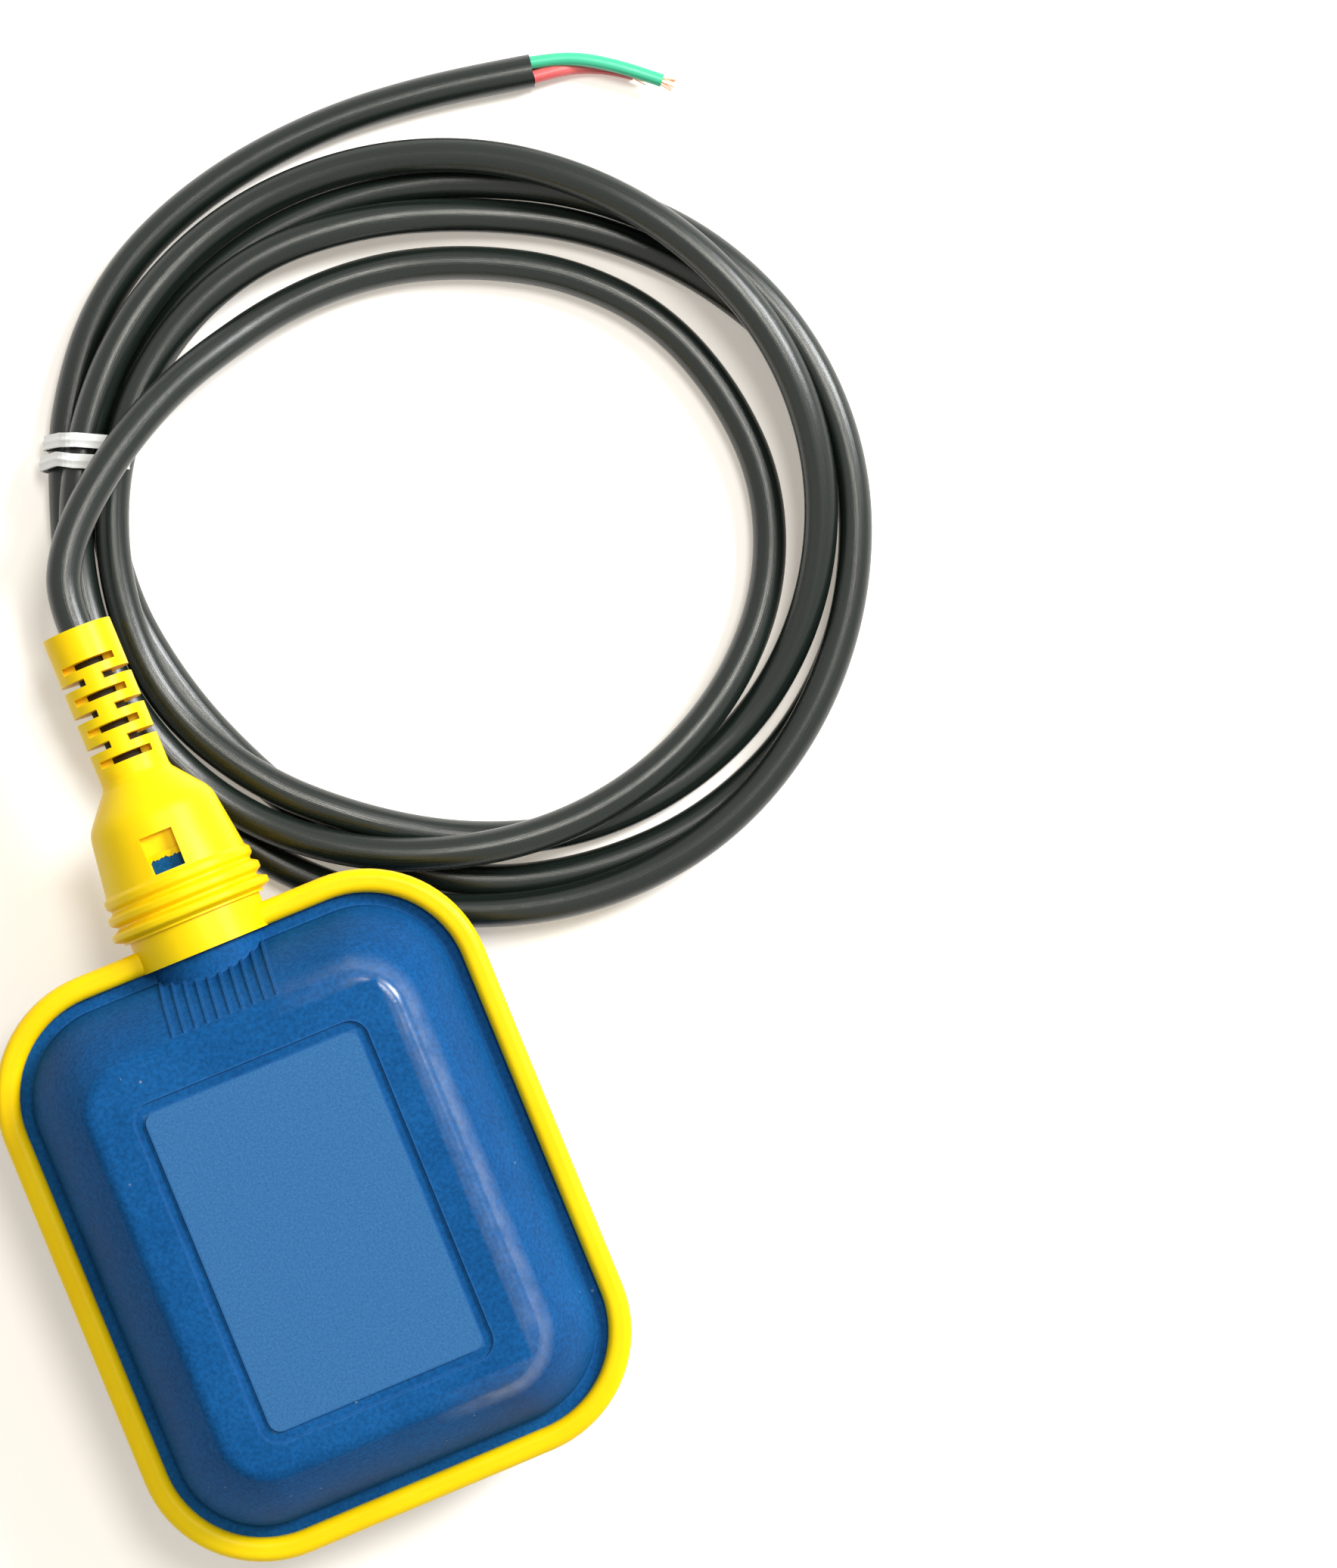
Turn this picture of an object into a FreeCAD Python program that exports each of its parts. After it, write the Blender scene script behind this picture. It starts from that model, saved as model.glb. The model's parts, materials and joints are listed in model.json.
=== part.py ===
# Cable float switch: two welded shells, a soft moulded rim with its boot, a ball and microswitch
# inside, and the cable with its coil. Millimetres, +Z up. The origin is the centre of the lower
# shell's flat resting face, +Y points to the cable's boot and +X to the boot's right seen from above.
import FreeCAD, Part
import Sketcher
import math
import os

os.makedirs("parts", exist_ok=True)
V = FreeCAD.Vector
doc = FreeCAD.newDocument("cable_float_switch")
sheet = doc.addObject("Spreadsheet::Sheet", "Sizes")

# Driving dimensions
SIZES = {
    # float body
    "float_width": 81.0,
    "float_length": 97.5,
    "float_height": 41.5,
    "float_corner": 20.0,
    # soft rim that grips both flanges
    "rim_height": 8.4,
    "rim_skin": 1.9,
    "rim_lip": 1.85,
    "rim_round": 1.4,
    "mould_gap": 0.08,
    # shells
    "flange_thick": 2.0,
    "ledge": 1.8,
    "step_rise": 2.0,
    "step_draft": 0.4,
    "plateau_width": 51.0,
    "plateau_length": 67.0,
    "plateau_corner": 7.5,
    "plateau_round": 2.6,
    "crown": 1.1,
    "shell_wall": 2.2,
    "tongue_width": 0.9,
    "tongue_rise": 0.8,
    "tongue_gap": 0.1,
    "tongue_inset": 2.4,
    "tongue_reach": 24.0,
    # neck of the shells
    "neck_radius": 9.2,
    "neck_wall": 2.6,
    "neck_length": 12.85,
    # framed field on the upper shell
    "field_width": 38.2,
    "field_length": 55.8,
    "field_offset": 1.0,
    "field_corner": 3.0,
    "field_groove": 1.6,
    "field_depth": 0.5,
    # grip lines below the neck
    "grip_count": 10,
    "grip_pitch": 1.9,
    "grip_width": 0.45,
    "grip_rise": 0.35,
    "grip_fade": 1.25,
    # bell and strain relief
    "collar_radius": 10.9,
    "bell_radius": 11.7,
    "bell_waist": 10.3,
    "bell_offset": 1.65,
    "bell_past_neck": 7.0,
    "bell_round": 5.0,
    "bell_taper": 5.8,
    "throat_round": 1.8,
    "ring_first": 1.5,
    "ring_pitch": 2.65,
    "ring_count": 3,
    "ring_crest": 13.15,
    "ring_step": 0.42,
    "ring_section": 1.15,
    "ring_land": 0.52,
    "ring_round": 0.4,
    "window_width": 5.3,
    "window_length": 6.1,
    "window_back": 2.9,
    "window_floor": 8.95,
    "relief_radius": 5.65,
    "relief_length": 25.1,
    "slot_width": 1.15,
    "slot_pitch": 5.25,
    "slot_first": 3.5,
    "slot_count": 4,
    "slot_span": 8.4,
    "bridge_width": 2.9,
    "side_bridge": 3.2,
    # cable
    "cable_radius": 2.75,
    "core_radius": 1.1,
    "strand_radius": 0.55,
    "strand_spread": 0.72,
    "potting_length": 15.6,
    # ball and its channel
    "ball_radius": 7.0,
    "ball_gap": 0.3,
    "ball_stroke": 4.7,
    "carrier_wall": 2.0,
    "side_clear": 1.3,
    "wire_room": 7.1,
    "channel_end": -7.2,
    "carrier_screw_radius": 1.3,
    "screw_inset": 2.9,
    "screw_bite": 6.0,
    "screw_slot": 0.7,
    "screw_head_radius": 2.4,
    "screw_head_height": 1.6,
    "boss_radius": 2.6,
    "cover_thick": 2.0,
    "part_gap": 0.1,
    # microswitch, lever and plunger
    "switch_length": 27.8,
    "switch_depth": 15.9,
    "switch_thick": 10.3,
    "switch_face": 2.0,
    "switch_cover": 1.5,
    "lever_pivot_x": -18.0,
    "lever_drop": 1.7,
    "lever_length": 26.5,
    "lever_width": 4.0,
    "lever_thick": 0.4,
    "lever_swing": 14.0,
    "pivot_end": 2.2,
    "pivot_radius": 0.75,
    "pivot_gap": 0.06,
    "hub_wall": 0.5,
    "ear_thick": 1.3,
    "ear_reach": 1.75,
    "ear_root": 0.9,
    "plunger_arm": 7.0,
    "plunger_radius": 1.3,
    "plunger_length": 5.5,
    "mount_hole_radius": 1.55,
    "mount_hole_dx": 22.2,
    "mount_hole_dy": 10.3,
    "terminal_width": 4.8,
    "terminal_thick": 0.8,
    "terminal_length": 8.0,
    "terminal_pitch": 8.2,
    "core_share": 0.25,
    "sleeve_length": 6.0,
    "sleeve_wall": 0.5,
    "sleeve_grip": 3.6,
    "eye_offset": 2.8,
    "eye_radius": 0.86,
    # coil and tie
    "coil_setback": 7.4,
    "coil_nest": 0.4,
    "coil_edge": 2.4,
    "tie_band": 2.2,
    "tie_thick": 0.7,
    "tie_fan": 7.0,
    "tie_span": 13.4,
    "tie_inner": 56.4,
    "tie_turn": 147.0,
    "tie_tail": 7.0,
    "tie_core": 1.0,
    "strand_length": 3.0,
}


class Size:
    """A length with its formula for the document and its present value."""

    def __init__(self, text, value):
        self.text = text
        self.value = float(value)

    @staticmethod
    def of(other):
        return other if isinstance(other, Size) else Size(repr(other), other)

    def join(self, sign, other, value):
        return Size("(" + self.text + " " + sign + " " + Size.of(other).text + ")", value)

    def __add__(self, other):
        return self.join("+", other, self.value + Size.of(other).value)

    def __sub__(self, other):
        return self.join("-", other, self.value - Size.of(other).value)

    def __mul__(self, other):
        return self.join("*", other, self.value * Size.of(other).value)

    def __truediv__(self, other):
        return self.join("/", other, self.value / Size.of(other).value)

    def __radd__(self, other):
        return Size.of(other) + self

    def __rsub__(self, other):
        return Size.of(other) - self

    def __rmul__(self, other):
        return Size.of(other) * self

    def __neg__(self):
        return Size("(0 - " + self.text + ")", -self.value)


for row, (alias, number) in enumerate(SIZES.items(), start=1):
    sheet.set("A" + str(row), alias)
    sheet.set("B" + str(row), str(number))
    sheet.setAlias("B" + str(row), alias)
doc.recompute()
S = {alias: Size("Sizes." + alias, sheet.get(alias)) for alias in SIZES}
ZERO = Size("0", 0)


def bind(thing, prop, size):
    thing.setExpression(prop, Size.of(size).text)


def move(thing, x=0, y=0, z=0):
    for axis, size in zip("xyz", (x, y, z)):
        bind(thing, "Placement.Base." + axis, size)


# Sketches and bodies
def new_body(name):
    body = doc.addObject("PartDesign::Body", name)
    body.Label = name
    return body


def new_sketch(body, name, role, height=ZERO):
    sketch = body.newObject("Sketcher::SketchObject", name)
    plane = next(f for f in body.Origin.OriginFeatures if f.Role == role)
    sketch.AttachmentSupport = [(plane, "")]
    sketch.MapMode = "FlatFace"
    bind(sketch, "AttachmentOffset.Base.z", height)
    return sketch


def pin_point(sketch, curve, end, x, y):
    for kind, size in (("DistanceX", x), ("DistanceY", y)):
        index = sketch.addConstraint(Sketcher.Constraint(kind, -1, 1, curve, end, size.value))
        bind(sketch, "Constraints[" + str(index) + "]", size)


def draw_polygon(sketch, corners):
    corners = [(Size.of(x), Size.of(y)) for x, y in corners]
    first = sketch.GeometryCount
    spots = [V(x.value, y.value, 0) for x, y in corners]
    count = len(spots)
    for n in range(count):
        sketch.addGeometry(Part.LineSegment(spots[n], spots[(n + 1) % count]), False)
    for n in range(count):
        following = first + (n + 1) % count
        sketch.addConstraint(Sketcher.Constraint("Coincident", first + n, 2, following, 1))
        pin_point(sketch, first + n, 1, corners[n][0], corners[n][1])


def draw_round_rect(sketch, width, length, corner):
    """A rounded rectangle round the sketch's origin: four lines joined by tangent arcs."""
    half_x, half_y = width * 0.5, length * 0.5
    in_x, in_y = half_x - corner, half_y - corner
    sides = [((half_x, -in_y), (half_x, in_y)), ((in_x, half_y), (-in_x, half_y)),
             ((-half_x, in_y), (-half_x, -in_y)), ((-in_x, -half_y), (in_x, -half_y))]
    centres = [(in_x, in_y), (-in_x, in_y), (-in_x, -in_y), (in_x, -in_y)]
    first = sketch.GeometryCount
    for (ax, ay), (bx, by) in sides:
        sketch.addGeometry(Part.LineSegment(V(ax.value, ay.value, 0), V(bx.value, by.value, 0)), False)
    for n, (cx, cy) in enumerate(centres):
        circle = Part.Circle(V(cx.value, cy.value, 0), V(0, 0, 1), corner.value)
        start = math.radians(90 * n)
        sketch.addGeometry(Part.ArcOfCircle(circle, start, start + math.pi / 2), False)
    for n, (start, end) in enumerate(sides):
        pin_point(sketch, first + n, 1, start[0], start[1])
        pin_point(sketch, first + n, 2, end[0], end[1])
    for n in range(4):
        arc = first + 4 + n
        sketch.addConstraint(Sketcher.Constraint("Tangent", first + n, 2, arc, 1))
        sketch.addConstraint(Sketcher.Constraint("Coincident", arc, 2, first + (n + 1) % 4, 1))


def draw_circle(sketch, x, y, radius):
    x, y, radius = Size.of(x), Size.of(y), Size.of(radius)
    curve = sketch.addGeometry(Part.Circle(V(x.value, y.value, 0), V(0, 0, 1), radius.value), False)
    pin_point(sketch, curve, 3, x, y)
    index = sketch.addConstraint(Sketcher.Constraint("Radius", curve, radius.value))
    bind(sketch, "Constraints[" + str(index) + "]", radius)


def add_feature(body, kind, name, profile, length=None, symmetric=False, reverse=False):
    feature = body.newObject("PartDesign::" + kind, name)
    feature.Profile = profile
    if length is not None:
        bind(feature, "Length", length)
    if symmetric:
        feature.Midplane = True
    if reverse:
        feature.Reversed = True
    return feature


def volume_now(body):
    doc.recompute()
    return body.Shape.Volume


def checked_cut(body, kind, name, profile, length=None, **options):
    """A cut that is turned round if it points away from the solid, and must remove something."""
    before = volume_now(body)
    feature = add_feature(body, kind, name, profile, length, **options)
    if abs(volume_now(body) - before) < 1e-3:
        feature.Reversed = not feature.Reversed
    assert volume_now(body) < before - 1e-3, name + " removes nothing"
    return feature


def round_edges(body, name, radius, wanted):
    doc.recompute()
    edges = ["Edge" + str(n) for n, edge in enumerate(body.Shape.Edges, start=1) if wanted(edge)]
    base = body.Tip
    feature = body.newObject("PartDesign::Fillet", name)
    feature.Base = (base, edges)
    bind(feature, "Radius", radius)
    return feature


def at_height(edge, height):
    return all(abs(vertex.Z - height) < 1e-3 for vertex in edge.Vertexes) and \
        abs(edge.BoundBox.ZMax - edge.BoundBox.ZMin) < 1e-3


def draw_half_disc(sketch, radius):
    """The upper half of a disc on the sketch's origin."""
    circle = Part.Circle(V(0, 0, 0), V(0, 0, 1), radius.value)
    curve = sketch.addGeometry(Part.ArcOfCircle(circle, 0, math.pi), False)
    base = sketch.addGeometry(Part.LineSegment(V(-radius.value, 0, 0), V(radius.value, 0, 0)), False)
    pin_point(sketch, base, 1, -radius, ZERO)
    pin_point(sketch, base, 2, radius, ZERO)
    sketch.addConstraint(Sketcher.Constraint("Coincident", curve, 2, base, 1))
    sketch.addConstraint(Sketcher.Constraint("Coincident", curve, 1, base, 2))
    sketch.addConstraint(Sketcher.Constraint("PointOnObject", curve, 3, -1))


def add_loft(body, kind, name, outlines):
    feature = body.newObject("PartDesign::" + kind, name)
    feature.Profile = outlines[0]
    feature.Sections = outlines[1:]
    return feature


def repeat_along(body, name, originals, axis_role, run, count):
    pattern = body.newObject("PartDesign::LinearPattern", name)
    pattern.Originals = originals
    axis = next(f for f in body.Origin.OriginFeatures if f.Role == axis_role)
    pattern.Direction = (axis, [""])
    bind(pattern, "Length", run)
    bind(pattern, "Occurrences", count)
    body.Tip = pattern
    return pattern


# Heights and outlines that several pieces share
MID = S["float_height"] * 0.5
SKIN = S["rim_skin"] + S["mould_gap"]
OPEN_IN = S["rim_skin"] + S["rim_lip"]
STEP_IN = OPEN_IN + S["ledge"]
STEP_TOP = S["flange_thick"] + S["step_rise"]
HEAD_W = S["float_width"] - 2 * (STEP_IN + S["step_draft"])
HEAD_L = S["float_length"] - 2 * (STEP_IN + S["step_draft"])
HEAD_R = S["float_corner"] - STEP_IN - S["step_draft"]
CENTRE_W = (HEAD_W + S["plateau_width"]) * 0.5 + 2 * S["crown"]
CENTRE_L = (HEAD_L + S["plateau_length"]) * 0.5 + 2 * S["crown"]
CENTRE_R = (HEAD_R + S["plateau_corner"]) * 0.5 + S["crown"]
FLOAT_END = S["float_length"] * 0.5
NECK_END = FLOAT_END + S["neck_length"]
BELL_START = FLOAT_END + S["bell_offset"]
BELL_SHOULDER = NECK_END + S["bell_past_neck"]
BELL_END = BELL_SHOULDER + S["bell_taper"]
RELIEF_END = BELL_END + S["relief_length"]
POTTING_START = NECK_END - S["potting_length"]
CHANNEL = S["ball_radius"] + S["ball_gap"]
CARRIER_BACK = S["switch_face"] - S["lever_drop"] - S["lever_thick"] * 0.5 \
    - S["ball_gap"] - S["ball_radius"] - S["ball_stroke"] - CHANNEL - S["carrier_wall"]
BALL_REST = CARRIER_BACK + S["carrier_wall"] + CHANNEL
SWITCH_LEFT = S["lever_pivot_x"] - S["pivot_end"]
TERMINAL_Y = S["switch_face"] + S["switch_depth"]
CARRIER_WIDTH = 2 * (S["side_clear"] + S["carrier_wall"] - SWITCH_LEFT)
CARRIER_FRONT = TERMINAL_Y + S["wire_room"]
SCREW_X = CARRIER_WIDTH * 0.5 - S["screw_inset"]
SCREW_BACK = CARRIER_BACK + S["screw_inset"]
SCREW_FRONT = CARRIER_FRONT - S["screw_inset"]
SCREW_SPOTS = [(SCREW_X, SCREW_BACK), (-SCREW_X, SCREW_BACK),
               (SCREW_X, SCREW_FRONT), (-SCREW_X, SCREW_FRONT)]


def half_shell(name):
    """One moulded half, drawn above its own parting plane."""
    body = new_body(name)
    flange = new_sketch(body, name + "_flange_outline", "XY_Plane")
    draw_round_rect(flange, S["float_width"] - 2 * SKIN, S["float_length"] - 2 * SKIN,
                    S["float_corner"] - SKIN)
    add_feature(body, "Pad", name + "_flange", flange, S["flange_thick"])

    def outline(tag, width, length, corner, height):
        sketch = new_sketch(body, name + tag, "XY_Plane", height)
        draw_round_rect(sketch, width, length, corner)
        return sketch

    def flank_sections(tag, inset, high):
        rows = [(HEAD_W, HEAD_L, HEAD_R, STEP_TOP), (CENTRE_W, CENTRE_L, CENTRE_R, (STEP_TOP + high) * 0.5),
                (S["plateau_width"], S["plateau_length"], S["plateau_corner"], high)]
        return [outline(tag + str(n), width - 2 * inset, length - 2 * inset, corner - inset, height)
                for n, (width, length, corner, height) in enumerate(rows)]

    # Step beside the rim, then the crowned flank up to the plateau
    foot_w, foot_l, foot_r = (S["float_width"] - 2 * STEP_IN, S["float_length"] - 2 * STEP_IN,
                              S["float_corner"] - STEP_IN)
    step_foot = outline("_step_foot", foot_w, foot_l, foot_r, S["flange_thick"] * 0.5)
    step_head = outline("_step_head", HEAD_W, HEAD_L, HEAD_R, STEP_TOP)
    add_loft(body, "AdditiveLoft", name + "_step", [step_foot, step_head])
    add_loft(body, "AdditiveLoft", name + "_flank", flank_sections("_flank", ZERO, MID))
    round_edges(body, name + "_plateau_edge", S["plateau_round"], lambda edge: at_height(edge, MID.value))

    # Half-round neck towards the cable
    neck = new_sketch(body, name + "_neck_outline", "XZ_Plane", -NECK_END)
    draw_half_disc(neck, S["neck_radius"])
    add_feature(body, "Pad", name + "_neck", neck, NECK_END - S["plateau_length"] * 0.5)

    # The hollow follows the outside at one wall's distance
    wall = S["shell_wall"]
    hollow_foot = outline("_hollow_foot_outline", foot_w - 2 * wall, foot_l - 2 * wall, foot_r - wall, ZERO)
    checked_cut(body, "Pocket", name + "_hollow_foot", hollow_foot, STEP_TOP)
    add_loft(body, "SubtractiveLoft", name + "_hollow", flank_sections("_hollow", wall, MID - wall))
    bore = new_sketch(body, name + "_neck_bore_outline", "XZ_Plane", -NECK_END)
    draw_half_disc(bore, S["neck_radius"] - S["neck_wall"])
    checked_cut(body, "Pocket", name + "_neck_bore", bore, NECK_END - foot_l * 0.5 + 2 * wall)
    return body


def side_strips(body, name, width, length):
    """Two straight strips of the tongue joint, one along each long side of the flange."""
    sketch = new_sketch(body, name, "XY_Plane")
    centre = S["float_width"] * 0.5 - SKIN - S["tongue_inset"]
    for side in (-1, 1):
        near, far = centre * side - width * 0.5, centre * side + width * 0.5
        draw_polygon(sketch, [(near, -length), (far, -length), (far, length), (near, length)])
    return sketch


def make_upper_shell():
    body = half_shell("upper_shell")
    groove = new_sketch(body, "field_outline", "XY_Plane", MID)
    bind(groove, "AttachmentOffset.Base.y", -S["field_offset"])
    draw_round_rect(groove, S["field_width"], S["field_length"], S["field_corner"])
    draw_round_rect(groove, S["field_width"] - 2 * S["field_groove"],
                    S["field_length"] - 2 * S["field_groove"], S["field_corner"] - S["field_groove"] * 0.6)
    checked_cut(body, "Pocket", "field_frame", groove, S["field_depth"])

    # Grip lines climb the flank below the neck and fade out at the plateau
    grip_span = (S["grip_count"] - 1) * S["grip_pitch"]
    first_x = -grip_span * 0.5
    heights = [STEP_TOP, (STEP_TOP + MID) * 0.5, MID - S["grip_fade"]]
    top_lean = (4 * CENTRE_L - HEAD_L - 3 * S["plateau_length"]) * 0.5 / (MID - STEP_TOP)
    reaches = [HEAD_L * 0.5 + S["grip_rise"], CENTRE_L * 0.5 + S["grip_rise"],
               S["plateau_length"] * 0.5 + top_lean * S["grip_fade"] + S["grip_rise"]]
    outlines = []
    for n, (height, reach) in enumerate(zip(heights, reaches)):
        outline = new_sketch(body, "grip_outline" + str(n), "XY_Plane", height)
        left, right = first_x - S["grip_width"] * 0.5, first_x + S["grip_width"] * 0.5
        root = reach - S["shell_wall"] * 0.6
        draw_polygon(outline, [(left, root), (right, root), (right, reach), (left, reach)])
        outlines.append(outline)
    grip = add_loft(body, "AdditiveLoft", "grip_line", outlines)
    doc.recompute()
    repeat_along(body, "grip_lines", [grip], "X_Axis", grip_span, S["grip_count"])

    tongue = side_strips(body, "tongue_outline", S["tongue_width"], S["tongue_reach"])
    add_feature(body, "Pad", "tongue", tongue, S["tongue_rise"], reverse=True)
    move(body, z=MID)
    return body


def make_lower_shell():
    body = half_shell("lower_shell")
    seat = CHANNEL + S["carrier_wall"]
    bosses = new_sketch(body, "boss_outline", "XY_Plane", seat)
    pilots = new_sketch(body, "pilot_outline", "XY_Plane", seat)
    for x, y in SCREW_SPOTS:
        draw_circle(bosses, x, y, S["boss_radius"])
        draw_circle(pilots, x, y, S["carrier_screw_radius"])
    add_feature(body, "Pad", "bosses", bosses, MID - seat - S["shell_wall"] * 0.5)
    before = volume_now(body)
    pilot = add_feature(body, "Pocket", "pilot_holes", pilots, S["screw_bite"] + S["ball_gap"])
    pilot.Reversed = True
    assert volume_now(body) < before - 1e-3
    groove = side_strips(body, "groove_outline", S["tongue_width"] + 2 * S["tongue_gap"],
                         S["tongue_reach"] + S["tongue_gap"])
    checked_cut(body, "Pocket", "groove", groove, S["tongue_rise"] + S["tongue_gap"])
    body.Placement = FreeCAD.Placement(V(0, 0, 0), FreeCAD.Rotation(V(0, 1, 0), 180))
    move(body, z=MID)
    return body


def make_sealing_overmould():
    """Soft rim, bell and slotted strain relief, moulded in one piece over the welded shells."""
    body = new_body("sealing_overmould")
    rim = new_sketch(body, "rim_outline", "XY_Plane", MID)
    draw_round_rect(rim, S["float_width"], S["float_length"], S["float_corner"])
    add_feature(body, "Pad", "rim", rim, S["rim_height"], symmetric=True)
    opening = new_sketch(body, "opening_outline", "XY_Plane", MID - S["rim_height"])
    draw_round_rect(opening, S["float_width"] - 2 * OPEN_IN, S["float_length"] - 2 * OPEN_IN,
                    S["float_corner"] - OPEN_IN)
    checked_cut(body, "Pocket", "opening", opening, 2 * S["rim_height"])
    half = S["rim_height"].value * 0.5
    round_edges(body, "rim_edges", S["rim_round"],
                lambda edge: at_height(edge, MID.value + half) or at_height(edge, MID.value - half))

    # Bell with its rings, drawn as one half profile and turned about the cable's axis
    profile = new_sketch(body, "bell_profile", "XY_Plane", MID)
    start = FLOAT_END - OPEN_IN
    corners = [(ZERO, start), (S["collar_radius"], start), (S["collar_radius"], BELL_START),
               (S["bell_radius"], BELL_START)]
    crests = []
    for n in range(int(S["ring_count"].value)):
        middle = BELL_START + S["ring_first"] + n * S["ring_pitch"]
        crest = S["ring_crest"] - n * S["ring_step"]
        crests.append(crest.value)
        root, top = S["ring_section"], S["ring_land"]
        corners += [(S["bell_radius"], middle - root), (crest, middle - top),
                    (crest, middle + top), (S["bell_radius"], middle + root)]
    corners += [(S["bell_waist"], BELL_SHOULDER), (S["relief_radius"], BELL_END),
                (S["relief_radius"], RELIEF_END), (ZERO, RELIEF_END)]
    draw_polygon(profile, corners)
    bell = body.newObject("PartDesign::Revolution", "bell")
    bell.Profile = profile
    bell.ReferenceAxis = (profile, ["V_Axis"])
    bell.Angle = 360

    def ring_at(edge, radius, y=None):
        box = edge.BoundBox
        round_one = abs(box.XMax - radius) < 1e-3 and box.YLength < 1e-3
        return round_one and (y is None or abs(box.YMin - y) < 1e-3)

    round_edges(body, "bell_shoulder_round", S["bell_round"],
                lambda edge: ring_at(edge, S["bell_waist"].value, BELL_SHOULDER.value))
    round_edges(body, "throat", S["throat_round"],
                lambda edge: ring_at(edge, S["relief_radius"].value, BELL_END.value))
    round_edges(body, "ring_crests", S["ring_round"],
                lambda edge: any(ring_at(edge, crest) for crest in crests))

    # Channel for both flanges, then bores for the neck of the shells and for the cable
    channel = new_sketch(body, "channel_outline", "XY_Plane", MID)
    draw_round_rect(channel, S["float_width"] - 2 * S["rim_skin"], S["float_length"] - 2 * S["rim_skin"],
                    S["float_corner"] - S["rim_skin"])
    checked_cut(body, "Pocket", "flange_channel", channel, 2 * (S["flange_thick"] + S["mould_gap"]),
                symmetric=True)
    for tag, radius, near, far in (("neck_seat", S["neck_radius"] + S["mould_gap"], start - S["ledge"],
                                    NECK_END + S["mould_gap"]),
                                   ("cable_way", S["cable_radius"] + S["mould_gap"], NECK_END,
                                    RELIEF_END + S["ledge"])):
        sketch = new_sketch(body, tag + "_outline", "XZ_Plane", -far)
        draw_circle(sketch, ZERO, MID, radius)
        before = volume_now(body)
        cut = add_feature(body, "Pocket", tag, sketch, far - near)
        cut.Reversed = True
        assert volume_now(body) < before - 1, tag

    # Window over the neck, and the slots that let the relief bend
    def cutter(name, x, y, z, size_x, size_y, size_z):
        block = body.newObject("PartDesign::SubtractiveBox", name)
        for prop, size in (("Length", size_x), ("Width", size_y), ("Height", size_z)):
            bind(block, prop, size)
        move(block, x, y, z)
        return block

    tall = S["ring_crest"]
    cutter("window", -S["window_width"] * 0.5, NECK_END - S["window_back"], MID + S["window_floor"],
           S["window_width"], S["window_length"], tall)
    reach = S["relief_radius"] * 1.5
    span = (S["slot_count"] - 1) * S["slot_pitch"]
    middle_y = BELL_END + S["slot_first"] - S["slot_width"] * 0.5
    tops = [cutter("slot_above", -S["slot_span"] * 0.5, middle_y, MID + S["side_bridge"] * 0.5,
                   S["slot_span"], S["slot_width"], reach),
            cutter("slot_below", -S["slot_span"] * 0.5, middle_y, MID - S["side_bridge"] * 0.5 - reach,
                   S["slot_span"], S["slot_width"], reach)]
    doc.recompute()
    repeat_along(body, "slots_above_below", tops, "Y_Axis", span, S["slot_count"])
    side_y = middle_y + S["slot_pitch"] * 0.5
    sides = [cutter("slot_right", S["bridge_width"] * 0.5, side_y, MID - reach,
                    reach, S["slot_width"], 2 * reach),
             cutter("slot_left", -S["bridge_width"] * 0.5 - reach, side_y, MID - reach,
                    reach, S["slot_width"], 2 * reach)]
    doc.recompute()
    repeat_along(body, "slots_at_sides", sides, "Y_Axis", span - S["slot_pitch"], S["slot_count"] - 1)
    return body


# Plain solids and their booleans
def block(name, x, y, z, size_x, size_y, size_z):
    thing = doc.addObject("Part::Box", name)
    for prop, size in (("Length", size_x), ("Width", size_y), ("Height", size_z)):
        bind(thing, prop, size)
    move(thing, x, y, z)
    return thing


def rod(name, x, y, z, radius, length, along="Z"):
    thing = doc.addObject("Part::Cylinder", name)
    bind(thing, "Radius", radius)
    bind(thing, "Height", length)
    turns = {"Z": FreeCAD.Rotation(), "Y": FreeCAD.Rotation(V(1, 0, 0), -90),
             "X": FreeCAD.Rotation(V(0, 1, 0), 90)}
    thing.Placement = FreeCAD.Placement(V(0, 0, 0), turns[along])
    move(thing, x, y, z)
    return thing


def fused(name, things):
    whole = doc.addObject("Part::MultiFuse", name)
    whole.Shapes = things
    whole.Label = name
    return whole


def cut_from(name, base, tools):
    tool = tools[0] if len(tools) == 1 else fused(name + "_tools", tools)
    rest = doc.addObject("Part::Cut", name)
    rest.Base = base
    rest.Tool = tool
    rest.Label = name
    return rest


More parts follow.
